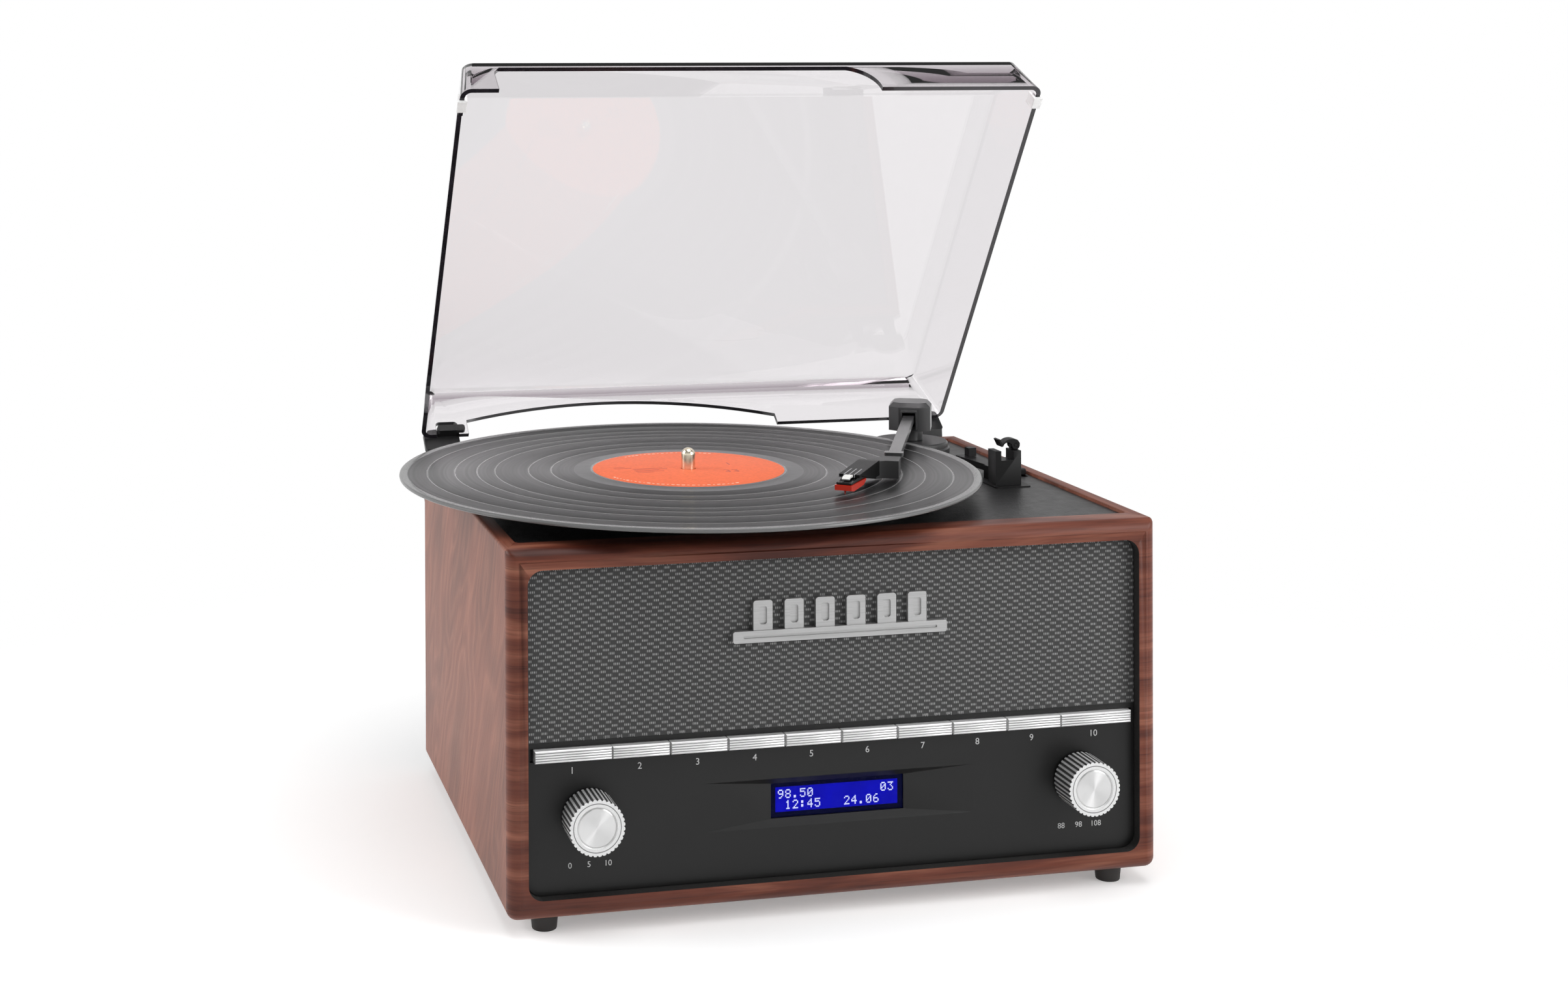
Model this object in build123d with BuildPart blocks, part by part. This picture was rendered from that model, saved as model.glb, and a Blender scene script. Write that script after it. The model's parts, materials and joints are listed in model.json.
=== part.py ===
"""Table-top stereo music centre: wooden cabinet with a record player under a clear lid,
ten push-buttons, a display, two knobs and two loudspeakers behind a cloth grille.

Millimetres. The origin is the centre of the cabinet's underside, +Z is up and the front
faces -Y. The lid is written in its open position, and the tonearm over the record.
"""

import os
from math import atan2, cos, degrees, radians, sin, sqrt

from build123d import *

# ---------------------------------------------------------------- driving dimensions
cabinet_width = 321.0
cabinet_depth = 248.0
cabinet_height = 170.0
board = 9.5                      # thickness of the cabinet's wooden walls
cabinet_edge_r = 1.6             # softened long top edges of the cabinet
cabinet_low_r = 5.0              # rounded long bottom edges
cabinet_front_r = 6.0            # rounded upright front edges
opening_corner_r = 7.0
panel_recess = 5.5               # how far the front sits back from the cabinet's front edge
fit_gap = 0.3                    # gap round a panel that drops into an opening
slide_gap = 0.25                 # gap round a small moving part
running_gap = 0.05               # radial gap of a shaft in its bearing

back_panel_thick = 4.0
cleat = 13.0                     # square corner block that the back panel screws into
cleat_length = 14.0
cleat_top_drop = 52.0            # upper corner blocks below the cabinet's top
screw_r = 1.5
screw_head_r = 3.0
screw_head = 1.2
screw_length = 12.0

foot_r = 6.6
foot_tip_r = 5.8
foot_height = 8.0
foot_from_side = 19.5
foot_from_back = 14.0

rim_front = 17.0                 # width of the wood round the deck
rim_side = 7.2
rim_back = 7.0
deck_thick = 3.0
deck_drop = 1.5                  # deck surface below the top of the wood
deck_ledge = 7.0                 # width of the rebate that carries the deck
deck_corner_r = 2.5
deck_rib = 2.0
deck_rib_side = 16.0             # rib inside the deck's edge, at the sides and at front and back
deck_rib_end = 9.0
deck_rib_depth = 5.0

record_r = 150.8                 # twelve-inch record
record_to_rest = 18.2            # record's rim to the middle of the arm rest
record_from_back = 123.0
record_thick = 2.0
record_groove_drop = 0.3
record_lead_in = 3.5             # plain raised band at the record's rim
label_r = 50.0
label_thick = 0.2
platter_r = 99.0
platter_thick = 3.0
platter_rim = 3.0
platter_drum_r = 60.0
platter_hub_r = 9.0
platter_lift = 1.6               # platter rim above the deck
platter_height = 6.9             # from the bottom of its rim to its top face
mat_thick = 1.6
spindle_r = 3.6
spindle_above_label = 11.0
bush_r = 6.0
bush_flange_r = 11.0
bush_flange = 0.8
bush_depth = 16.0
pulley_r = 5.0
pulley_distance = 78.0           # from the spindle to the motor's shaft
pulley_angle = 140.0
motor_r = 17.0
motor_length = 22.0
motor_shaft_r = 1.2
belt_thick = 0.8
belt_gap = 0.3
belt_inset = 0.2                 # belt edge to the platter's underside

pivot_from_side = 40.7
pivot_from_back = 30.0
arm_azimuth = -114.9
arm_base_r = 22.4
arm_base_top_r = 21.4
arm_base_low = 2.8
arm_base_height = 6.0
arm_post_r = 4.0
arm_post_depth = 12.0
housing_width = 23.6
housing_front = 12.0             # flat front of the housing ahead of the pivot
housing_back = 12.0
housing_height = 16.0
housing_lift = 6.5               # underside of the housing above its base disc
housing_crown = 2.4              # bevel round the housing's top
socket_width = 9.2
socket_reach = 4.6
tube_width = 6.2
tube_height = 5.2
tube_above_record = 7.4
tube_end = 141.5
tube_tail = 7.0
coupling_end = 163.5
coupling_width = 7.6
coupling_height = 9.0
shell_azimuth = -128.0
shell_width = 10.6
shell_length = 33.0
shell_height = 7.6
shell_fall = 2.0                 # how far the top of the headshell drops to its front
stylus_along = 39.5              # stylus ahead of the headshell's rear face
stylus_gap = 0.3
tab_length = 5.8                 # white finger tab ahead of the headshell
tab_width = 4.0
holder_rear = 19.0               # rear end of the red stylus holder

rest_from_side = 31.5
rest_from_back = 141.0
rest_width = 14.4
rest_depth = 10.0
rest_saddle = 13.5               # saddle above the deck
rest_post = 5.0                  # posts above the saddle
rest_inner_post = 3.2
rest_saddle_gap = 6.9
hook_pin_r = 1.0

lever_length = 38.0
lever_width = 8.0
lever_height = 3.4
lever_top = 7.5                  # top of the cue lever above the deck
lever_from_side = 29.8
lever_from_back = 129.0
rest_pad_width = 20.2
rest_pad_length = 40.0
lever_turn = 7.8                 # the lever's turn away from the cabinet's side
lever_knob = 4.6
speed_from_side = 18.0
speed_from_back = 90.0
speed_travel = 10.0
autostop_from_side = 11.5
autostop_from_back = 116.0
autostop_travel = 6.0
slider_size = 5.0
slider_height = 3.2
slider_stem = 2.4

lid_gap = 2.0                    # lid rim above the cabinet when shut
lid_wall = 2.5
lid_height = 36.0
lid_front_height = 25.0
lid_bevel = 28.5                 # run of the sloping front of the lid
lid_draft = 6.5                  # lean of the lid's side walls
lid_front_draft = 1.4
lid_corner_r = 6.0
lid_inset = 0.8                  # lid outside inside the cabinet's outline
lid_back_gap = 0.3
lid_open_angle = 54.7
notch_depth = 20.6
lobe_left = 20.0
notch_right = 68.0
lobe_round = 14.0
side_notch_depth = 17.0
side_notch_front = 12.3          # notch ahead of where the record crosses the wall
side_notch_back = 8.4            # and behind it
arch_left_gap = 1.5              # arch beyond where the record crosses the back wall
arch_right_gap = 4.7
arch_side = 11.0
arch_peak = 22.0
bumper_length = 7.0
bumper_wall = 1.3
bumper_from_front = 7.0

hinge_behind = 15.5              # hinge axis behind the cabinet's back
hinge_below = 13.8               # hinge axis below the cabinet's top
hinge_from_side = 13.0
hinge_width = 20.5
hinge_base_width = 25.0
hinge_base_height = 18.0
hinge_plate = 2.5
hinge_ear = 3.0
hinge_pin_r = 2.0
hinge_knuckle_r = 4.6
hinge_leg = 3.0
hinge_screw_pitch = 8.0
hinge_grip = 5.5                 # how far the clip reaches up the lid's wall
hinge_slot = 10.0                # height of the notch that the clip goes through
hinge_inset = 3.6                # notch inboard of the clip's middle
hinge_hold = 3.0                 # clip's blade beyond the notch
hinge_drop = 9.0                 # clip leg below the lid's rim

panel_thick = 4.5
strip_height = 5.7               # height of the push-buttons
strip_z = 74.45                  # centre line of the push-buttons
button_pitch = 27.8
button_gap = 0.6
middle_buttons = 8
button_row_margin = 3.4          # end of the button row to the opening's side
button_proud = 3.5
button_travel = 1.0
button_ribs = 4
rib_depth = 0.3
stem_width = 4.0
stem_height = 3.0
channel_depth = 2.3
ledge_height = 2.7               # plain strip between the buttons and the cloth

cloth_thick = 0.8
baffle_thick = 8.0
speaker_from_side = 62.5
speaker_margin = 7.25            # speaker's hole to the top and bottom of the cloth
speaker_rim = 5.0
magnet_r = 22.0
speaker_depth = 34.0
frame_thick = 1.6

badge_width = 106.0
badge_bar_height = 5.6
badge_bar_rise = 3.55            # badge's bar above the middle of the cloth
badge_thick = 3.0
badge_blocks = 6
badge_block_width = 9.4
badge_block_height = 14.0
badge_block_pitch = 15.3

window_width = 66.0
window_height = 16.5
window_z = 44.35
recess_width = 134.0
recess_height = 22.9
recess_depth = 3.0
module_width = 84.0
module_height = 32.0

knob_from_side = 38.9
knob_z = 45.2
knob_r = 13.0
knob_face_r = 9.6
knob_proud = 17.5                # knob face ahead of the panel
knob_gap = 1.0
knob_flutes = 36
shaft_r = 3.0
encoder_size = 13.0
encoder_depth = 7.0

circuit_board = 1.6
transformer_width = 56.0
transformer_depth = 44.0
transformer_height = 47.0

# ---------------------------------------------------------------- derived places
front_y = -cabinet_depth / 2
back_y = cabinet_depth / 2
side_x = cabinet_width / 2
foot_x = side_x - foot_from_side
foot_y = back_y - foot_from_back
opening_width = cabinet_width - 2 * board
opening_height = cabinet_height - 2 * board
opening_mid_z = cabinet_height / 2
panel_y = front_y + panel_recess
panel_back_y = panel_y + panel_thick
deck_z = cabinet_height - deck_drop
deck_under_z = deck_z - deck_thick
deck_width = cabinet_width - 2 * rim_side - 2 * fit_gap
deck_depth = cabinet_depth - rim_front - rim_back - 2 * fit_gap
deck_mid_y = (rim_front - rim_back) / 2
inside_floor_z = board
back_panel_y = back_y - back_panel_thick

rest_x = side_x - rest_from_side
rest_y = back_y - rest_from_back
record_x = rest_x - record_to_rest - record_r
record_y = back_y - record_from_back
pivot_x = side_x - pivot_from_side
pivot_y = back_y - pivot_from_back
lever_x = side_x - lever_from_side
lever_front_y = back_y - lever_from_back
speed_x = side_x - speed_from_side
speed_y = back_y - speed_from_back
autostop_x = side_x - autostop_from_side
autostop_y = back_y - autostop_from_back

platter_low_z = deck_z + platter_lift
platter_top_z = platter_low_z + platter_height
platter_under_z = platter_top_z - platter_thick
record_low_z = platter_top_z + mat_thick
record_top_z = record_low_z + record_thick
spindle_top_z = record_top_z + label_thick + spindle_above_label
spindle_low_z = deck_under_z - bush_depth + 2
bore_r = spindle_r + running_gap
motor_x = record_x + pulley_distance * cos(radians(pulley_angle))
motor_y = record_y + pulley_distance * sin(radians(pulley_angle))

tube_z = record_top_z + tube_above_record
base_top_z = deck_z + arm_base_height
housing_z = base_top_z + housing_lift
saddle_z = deck_z + rest_saddle
post_top_z = saddle_z + rest_post

hinge_x = side_x - hinge_from_side
hinge_y = back_y + hinge_behind
hinge_z = cabinet_height - hinge_below
rim_z = cabinet_height + lid_gap
lid_back_y = back_y + lid_back_gap
lid_front_y = front_y + lid_inset
lid_half = side_x - lid_inset
lid_top_z = rim_z + lid_height
fold_z = rim_z + lid_front_height


def half_chord(reach):
    """Half of the record's width where a straight wall cuts it, this far from its centre."""
    return sqrt(record_r**2 - reach**2)


back_chord = half_chord(lid_back_y - lid_wall - record_y)
side_chord = half_chord(record_x + lid_half - lid_wall)
arch_left = record_x - back_chord - arch_left_gap
arch_right = record_x + back_chord + arch_right_gap

strip_top_z = strip_z + strip_height / 2
grille_low_z = strip_top_z + ledge_height
grille_high_z = cabinet_height - board
panel_low_z = board
grille_mid_z = (grille_low_z + grille_high_z) / 2
grille_height = grille_high_z - grille_low_z
speaker_x = side_x - speaker_from_side
speaker_hole_r = grille_height / 2 - speaker_margin
speaker_r = speaker_hole_r + speaker_rim
badge_bar_z = grille_mid_z + badge_bar_rise
knob_x = side_x - knob_from_side
end_button_width = opening_width / 2 - button_row_margin - middle_buttons * button_pitch / 2
button_width = button_pitch - button_gap
cloth_back_y = panel_y + cloth_thick
baffle_back_y = cloth_back_y + baffle_thick
button_face_y = panel_y - button_proud
channel_floor_y = panel_y + channel_depth
switch_face_y = panel_back_y + 4.8
control_board_y = switch_face_y + 1.2
stem_end_y = switch_face_y - button_travel - slide_gap
button_centres = []
for i in range(middle_buttons):
    button_centres.append(((i - (middle_buttons - 1) / 2) * button_pitch, button_width))
end_button_x = middle_buttons * button_pitch / 2 + end_button_width / 2
button_centres = [(-end_button_x, end_button_width)] + button_centres + [(end_button_x, end_button_width)]

os.makedirs("parts", exist_ok=True)


def upright(y):
    """Plane across the cabinet at depth y, drawn in X and Z, its normal to the front."""
    return Plane.XZ.offset(-y)


def level(z):
    """Level plane at height z."""
    return Plane.XY.offset(z)


def end_on(x):
    """Plane along the cabinet at place x, drawn in Y and Z, its normal to the right."""
    return Plane.YZ.offset(x)


def write(part, name):
    """Label one finished piece and write it."""
    part.label = name
    export_step(part, f"parts/{name}.step")


def opened(part):
    """Swing a piece of the lid from its shut place to its open one."""
    hinge_line = Axis((0, hinge_y, hinge_z), (1, 0, 0))
    return part.rotate(hinge_line, -lid_open_angle)


# ---------------------------------------------------------------- cabinet
cleat_x = opening_width / 2 - cleat / 2
cleat_low_z = board + cleat / 2
cleat_high_z = cabinet_height - cleat_top_drop
cleat_places = []
for hand in (1, -1):
    cleat_places += [(hand * cleat_x, cleat_low_z), (hand * cleat_x, cleat_high_z)]
hinge_block_height = 21.0
hinge_block_z = cabinet_height - board - hinge_block_height / 2
hinge_block_places = [(cleat_x, hinge_block_z), (-cleat_x, hinge_block_z)]
hinge_base_top_z = hinge_z + 1.8
hinge_base_z = hinge_base_top_z - hinge_base_height / 2
hinge_screw_places = []
for hand in (-1, 1):
    for step in (-1, 1):
        hinge_screw_places.append((hand * cleat_x, hinge_base_z + step * hinge_screw_pitch / 2))

with BuildPart() as cabinet_shell:
    with BuildSketch(upright(front_y)) as outline:
        with Locations((0, cabinet_height / 2)):
            Rectangle(cabinet_width, cabinet_height)
        fillet(outline.vertices().group_by(Axis.Y)[-1], radius=cabinet_edge_r)
        fillet(outline.vertices().group_by(Axis.Y)[0], radius=cabinet_low_r)
    extrude(amount=-cabinet_depth)
    fillet(cabinet_shell.edges().filter_by(Axis.Z).group_by(Axis.Y)[0], radius=cabinet_front_r)
    with BuildSketch(upright(front_y)):
        with Locations((0, cabinet_height / 2)):
            RectangleRounded(opening_width, opening_height, opening_corner_r)
    extrude(amount=-cabinet_depth, mode=Mode.SUBTRACT)
    # rebate and opening that take the deck
    with BuildSketch(level(cabinet_height)):
        with Locations((0, deck_mid_y)):
            RectangleRounded(deck_width + 2 * fit_gap, deck_depth + 2 * fit_gap, deck_corner_r + fit_gap)
    extrude(amount=-(deck_drop + deck_thick), mode=Mode.SUBTRACT)
    with BuildSketch(level(cabinet_height)):
        with Locations((0, deck_mid_y)):
            Rectangle(opening_width, deck_depth - 2 * deck_ledge)
    extrude(amount=-board, mode=Mode.SUBTRACT)
    # corner blocks for the screws of the back panel and of the hinges
    with BuildSketch(upright(back_panel_y)):
        with Locations(*cleat_places):
            Rectangle(cleat, cleat)
        with Locations(*hinge_block_places):
            Rectangle(cleat, hinge_block_height)
    extrude(amount=cleat_length)
    with BuildSketch(upright(back_panel_y)):
        with Locations(*cleat_places, *hinge_screw_places):
            Circle(screw_r)
    extrude(amount=screw_length - back_panel_thick, mode=Mode.SUBTRACT)
write(cabinet_shell.part, "cabinet_shell")

inlet_x = -(side_x - 56.5)
inlet_z = 30.0
inlet_width = 22.0
inlet_height = 16.0
line_x = side_x - 64.5
vent_z = cabinet_height - 74.0
vent_length = 26.0
vent_width = 3.0
vent_pitch = 9.0
vents = 9
line_z = 44.0
line_pitch = 16.0
line_hole_r = 4.6

with BuildPart() as back_panel:
    with BuildSketch(upright(back_y)):
        with Locations((0, opening_mid_z)):
            RectangleRounded(opening_width - 2 * fit_gap, opening_height - 2 * fit_gap, opening_corner_r)
        with Locations(*cleat_places, *hinge_screw_places):
            Circle(screw_r + slide_gap, mode=Mode.SUBTRACT)
        with Locations((inlet_x, inlet_z)):
            Rectangle(inlet_width + slide_gap, inlet_height + slide_gap, mode=Mode.SUBTRACT)
        with Locations((line_x, line_z)):
            with GridLocations(0, line_pitch, 1, 2):
                Circle(line_hole_r + slide_gap, mode=Mode.SUBTRACT)
    extrude(amount=back_panel_thick)
    # cooling slots
    with BuildSketch(upright(back_y)):
        with Locations((0, vent_z)):
            with GridLocations(vent_pitch, 0, vents, 1):
                SlotOverall(vent_length, vent_width, rotation=90)
    extrude(amount=back_panel_thick, mode=Mode.SUBTRACT)
write(back_panel.part, "back_panel")

with BuildPart() as rear_screws:
    for places, seat_y in ((cleat_places, back_y), (hinge_screw_places, back_y + hinge_plate)):
        with BuildSketch(upright(seat_y)):
            with Locations(*places):
                Circle(screw_head_r)
        extrude(amount=-screw_head)
        with BuildSketch(upright(seat_y)):
            with Locations(*places):
                Circle(screw_r)
        extrude(amount=screw_length)
write(rear_screws.part, "rear_screws")

with BuildPart() as feet:
    with BuildSketch(level(0)):
        with GridLocations(2 * foot_x, 2 * foot_y, 2, 2):
            Circle(foot_r)
    extrude(amount=-foot_height, taper=degrees(atan2(foot_r - foot_tip_r, foot_height)))
write(feet.part, "feet")

with BuildPart() as power_inlet:
    with BuildSketch(upright(back_y)):
        with Locations((inlet_x, inlet_z)):
            RectangleRounded(inlet_width + 6, inlet_height + 6, 2)
    extrude(amount=-1.6)
    with BuildSketch(upright(back_y)):
        with Locations((inlet_x, inlet_z)):
            Rectangle(inlet_width, inlet_height)
    extrude(amount=16.0)
    # figure-of-eight mouth with its two contacts
    with BuildSketch(upright(back_y + 1.6)):
        with Locations((inlet_x, inlet_z)):
            SlotOverall(14.6, 7.6)
    extrude(amount=12.0, mode=Mode.SUBTRACT)
    with BuildSketch(upright(back_y - 10.4)):
        with Locations((inlet_x, inlet_z)):
            with GridLocations(6.6, 0, 2, 1):
                Circle(1.2)
    extrude(amount=-9.0)
write(power_inlet.part, "power_inlet")

with BuildPart() as line_sockets:
    with BuildSketch(upright(back_panel_y)):
        with Locations((line_x, line_z)):
            Rectangle(14.0, 2 * line_pitch)
    extrude(amount=8.0)
    with BuildSketch(upright(back_panel_y)):
        with Locations((line_x, line_z)):
            with GridLocations(0, line_pitch, 1, 2):
                Circle(line_hole_r)
    extrude(amount=-12.0)
    with BuildSketch(upright(back_panel_y - 1.0)):
        with Locations((line_x, line_z)):
            with GridLocations(0, line_pitch, 1, 2):
                Circle(1.6)
    extrude(amount=-13.0, mode=Mode.SUBTRACT)
write(line_sockets.part, "line_sockets")

# ---------------------------------------------------------------- front
stem_places = [(x, strip_z) for x, width in button_centres]
board_post_places = []
for i in (1, 4, 6, 9):
    gap_x = (button_centres[i][0] + button_centres[i - 1][0]) / 2
    board_post_places.append((gap_x, strip_z))
knob_places = [(-knob_x, knob_z), (knob_x, knob_z)]
bushing_r = 4.5

with BuildPart() as front_panel:
    with BuildSketch(upright(panel_back_y)):
        with BuildLine():
            half = opening_width / 2 - slide_gap
            low = panel_low_z + slide_gap
            corner = opening_corner_r
            Polyline((-half, low + corner), (-half, grille_low_z), (half, grille_low_z), (half, low + corner))
            RadiusArc((half, low + corner), (half - corner, low), corner)
            Line((half - corner, low), (-half + corner, low))
            RadiusArc((-half + corner, low), (-half, low + corner), corner)
        make_face()
    extrude(amount=panel_thick)
    # channel in which the push-buttons sit
    with BuildSketch(upright(panel_y)):
        with Locations((0, strip_z)):
            Rectangle(opening_width - 2 * slide_gap - 3.0, strip_height + 2 * slide_gap)
    extrude(amount=-channel_depth, mode=Mode.SUBTRACT)
    with BuildSketch(upright(panel_y)):
        with Locations(*stem_places):
            Rectangle(stem_width + 2 * slide_gap, stem_height + 2 * slide_gap)
        with Locations(*knob_places):
            Circle(bushing_r)
        with Locations((0, window_z)):
            Rectangle(window_width, window_height)
    extrude(amount=-panel_thick, mode=Mode.SUBTRACT)
    # long tapered recess that leads to the display
    with BuildSketch(upright(panel_y)):
        with Locations((0, window_z)):
            Rectangle(recess_width, recess_height)
    with BuildSketch(upright(panel_y + recess_depth)):
        with Locations((0, window_z)):
            Rectangle(window_width, window_height)
    loft(mode=Mode.SUBTRACT)
    # posts that carry the button board
    with BuildSketch(upright(panel_back_y)):
        with Locations(*board_post_places):
            Circle(2.4)
    extrude(amount=-(control_board_y - panel_back_y))
write(front_panel.part, "front_panel")

with BuildPart() as display_window:
    with BuildSketch(upright(panel_y + recess_depth)):
        with Locations((0, window_z)):
            Rectangle(window_width, window_height)
    extrude(amount=-(panel_thick - recess_depth))
write(display_window.part, "display_window")

with BuildPart() as display_module:
    with BuildSketch(upright(panel_back_y)):
        with Locations((0, window_z)):
            Rectangle(window_width + 5, window_height + 8)
    extrude(amount=-5.0)
    with BuildSketch(upright(panel_back_y + 5.0)):
        with Locations((0, window_z)):
            Rectangle(module_width, module_height)
    extrude(amount=-circuit_board)
write(display_module.part, "display_module")

with BuildPart() as control_board:
    with BuildSketch(upright(control_board_y)):
        with Locations((0, strip_z)):
            Rectangle(opening_width - 12, 15.0)
    extrude(amount=-circuit_board)
    with BuildSketch(upright(control_board_y)):
        with Locations(*stem_places):
            Rectangle(6.0, 6.0)
    extrude(amount=control_board_y - switch_face_y)
write(control_board.part, "control_board")


def push_button(x, width):
    """One ribbed push-button with the stem that works its switch."""
    with BuildPart() as cap:
        with BuildSketch(upright(channel_floor_y - button_travel - slide_gap)):
            with Locations((x, strip_z)):
                Rectangle(width, strip_height)
        extrude(amount=channel_floor_y - button_travel - slide_gap - button_face_y)
        front_face = cap.faces().sort_by(Axis.Y)[0]
        chamfer(front_face.edges(), length=0.35)
        with BuildSketch(upright(button_face_y)):
            with Locations((x, strip_z)):
                with GridLocations(0, strip_height / (button_ribs + 1), 1, button_ribs):
                    Rectangle(width, rib_depth)
        extrude(amount=-rib_depth, mode=Mode.SUBTRACT)
        with BuildSketch(upright(channel_floor_y - button_travel - slide_gap)):
            with Locations((x, strip_z)):
                Rectangle(stem_width, stem_height)
        extrude(amount=-(stem_end_y - channel_floor_y + button_travel + slide_gap))
    return cap.part


for number, (x, width) in enumerate(button_centres, start=1):
    write(push_button(x, width), f"button_{number:02d}")

with BuildPart() as grille_cloth:
    with BuildSketch(upright(panel_y)):
        with BuildLine():
            half = opening_width / 2 - slide_gap
            high = grille_high_z - slide_gap
            corner = opening_corner_r
            Polyline(
                (half, high - corner), (half, grille_low_z), (-half, grille_low_z), (-half, high - corner)
            )
            RadiusArc((-half, high - corner), (-half + corner, high), corner)
            Line((-half + corner, high), (half - corner, high))
            RadiusArc((half - corner, high), (half, high - corner), corner)
        make_face()
    extrude(amount=-cloth_thick)
write(grille_cloth.part, "grille_cloth")

speaker_places = [(-speaker_x, grille_mid_z), (speaker_x, grille_mid_z)]
with BuildPart() as speaker_baffle:
    with BuildSketch(upright(cloth_back_y)):
        with Locations((0, grille_mid_z)):
            RectangleRounded(opening_width - 2 * slide_gap, grille_height - 2 * slide_gap, opening_corner_r)
        with Locations(*speaker_places):
            Circle(speaker_hole_r, mode=Mode.SUBTRACT)
    extrude(amount=-baffle_thick)
write(speaker_baffle.part, "speaker_baffle")


def loudspeaker(x):
    """Cone loudspeaker on the back of the baffle: pressed basket with its magnet, and the cone."""
    axis_plane = Plane(origin=(x, baffle_back_y, grille_mid_z), x_dir=(1, 0, 0), z_dir=(0, 0, 1))
    with BuildPart() as basket:
        with BuildSketch(axis_plane):
            with BuildLine():
                Polyline(
                    (speaker_hole_r - 2, 0), (speaker_r, 0), (speaker_r, frame_thick),
                    (speaker_hole_r, frame_thick), (magnet_r - 4, speaker_depth - 14),
                    (magnet_r, speaker_depth - 14), (magnet_r, speaker_depth), (0, speaker_depth),
                    (0, speaker_depth - 15.5), (magnet_r - 6, speaker_depth - 15.5), (speaker_hole_r - 2, 0),
                )
            make_face()
        revolve(axis=Axis((x, baffle_back_y, grille_mid_z), (0, 1, 0)))
    with BuildPart() as cone:
        with BuildSketch(axis_plane):
            with BuildLine():
                Polyline(
                    (speaker_hole_r - 2.4, 0), (speaker_hole_r - 3.6, 0), (9.0, speaker_depth - 19.5),
                    (0, speaker_depth - 22.5), (0, speaker_depth - 21.3), (9.3, speaker_depth - 18.3),
                    (speaker_hole_r - 2.4, 0),
                )
            make_face()
        revolve(axis=Axis((x, baffle_back_y, grille_mid_z), (0, 1, 0)))
    return Compound(children=[basket.part, cone.part])


write(loudspeaker(-speaker_x), "speaker_left")
write(loudspeaker(speaker_x), "speaker_right")

with BuildPart() as badge:
    with BuildSketch(upright(panel_y)):
        with Locations((0, badge_bar_z)):
            RectangleRounded(badge_width, badge_bar_height, 1.2)
    extrude(amount=badge_thick)
    with BuildSketch(upright(panel_y - badge_thick)):
        with Locations((0, badge_bar_z)):
            SlotOverall(badge_width - 10, 1.2)
    extrude(amount=-0.8, mode=Mode.SUBTRACT)
    with BuildSketch(upright(panel_y)):
        with Locations((0, badge_bar_z + badge_bar_height / 2 + badge_block_height / 2 - 0.5)):
            with GridLocations(badge_block_pitch, 0, badge_blocks, 1):
                RectangleRounded(badge_block_width, badge_block_height + 1, 1.4)
    extrude(amount=badge_thick - 0.6)
    with BuildSketch(upright(panel_y - badge_thick + 0.6)):
        with Locations((0, badge_bar_z + badge_bar_height / 2 + badge_block_height / 2)):
            with GridLocations(badge_block_pitch, 0, badge_blocks, 1):
                RectangleRounded(badge_block_width - 5.6, badge_block_height - 5.6, 1.2)
    extrude(amount=-1.0, mode=Mode.SUBTRACT)
write(badge.part, "badge")

bushing_proud = 1.6              # encoder bushing ahead of the panel
knob_back_y = panel_y - knob_gap
knob_front_y = panel_y - knob_proud
knob_bore_depth = 12.0


def encoder(x):
    """Rotary encoder: square body behind the panel and the threaded bushing through it."""
    with BuildPart() as body:
        with BuildSketch(upright(panel_back_y)):
            with Locations((x, knob_z)):
                Rectangle(encoder_size, encoder_size)
        extrude(amount=-encoder_depth)
        with BuildSketch(upright(panel_back_y)):
            with Locations((x, knob_z)):
                Circle(bushing_r)
        extrude(amount=panel_thick + bushing_proud)
        with BuildSketch(upright(panel_y - bushing_proud)):
            with Locations((x, knob_z)):
                Circle(shaft_r + running_gap)
        extrude(amount=-(bushing_proud + panel_thick + encoder_depth - 1.5), mode=Mode.SUBTRACT)
    return body.part


def control_shaft(x):
    """Shaft of an encoder, from inside its body to the inside of its knob."""
    with BuildPart() as shaft:
        with BuildSketch(upright(panel_back_y + encoder_depth - 3.0)):
            with Locations((x, knob_z)):
                Circle(shaft_r)
        extrude(amount=encoder_depth - 3.0 + panel_thick + knob_gap + knob_bore_depth)
    return shaft.part


def knob(x, bore_r):
    """Fluted knob with a dished face, a back rim clear of the panel and a blind bore."""
    with BuildPart() as body:
        with BuildSketch(upright(knob_back_y)):
            with Locations((x, knob_z)):
                Circle(knob_r)
                with PolarLocations(knob_r, knob_flutes):
                    Rectangle(0.9, 0.9, rotation=45, mode=Mode.SUBTRACT)
        extrude(amount=knob_proud - knob_gap)
        with BuildSketch(upright(knob_front_y)):
            with Locations((x, knob_z)):
                Circle(knob_face_r)
        extrude(amount=-0.8, taper=45, mode=Mode.SUBTRACT)
        with BuildSketch(upright(knob_back_y)):
            with Locations((x, knob_z)):
                Circle(knob_r - 2.2)
                Circle(bore_r + 3.2, mode=Mode.SUBTRACT)
        extrude(amount=knob_bore_depth - 2.0, mode=Mode.SUBTRACT)
        with BuildSketch(upright(knob_back_y)):
            with Locations((x, knob_z)):
                Circle(bore_r)
        extrude(amount=knob_bore_depth, mode=Mode.SUBTRACT)
        with BuildSketch(upright(knob_back_y)):
            with Locations((x, knob_z)):
                Circle(bushing_r + slide_gap)
        extrude(amount=bushing_proud, mode=Mode.SUBTRACT)
    return body.part


write(encoder(-knob_x), "volume_encoder")
write(encoder(knob_x), "tune_encoder")
volume_parts = Compound(children=[knob(-knob_x, shaft_r), control_shaft(-knob_x)])
write(volume_parts, "volume_knob")
write(control_shaft(knob_x), "tune_shaft")
write(knob(knob_x, shaft_r + running_gap), "tune_knob")

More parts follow.
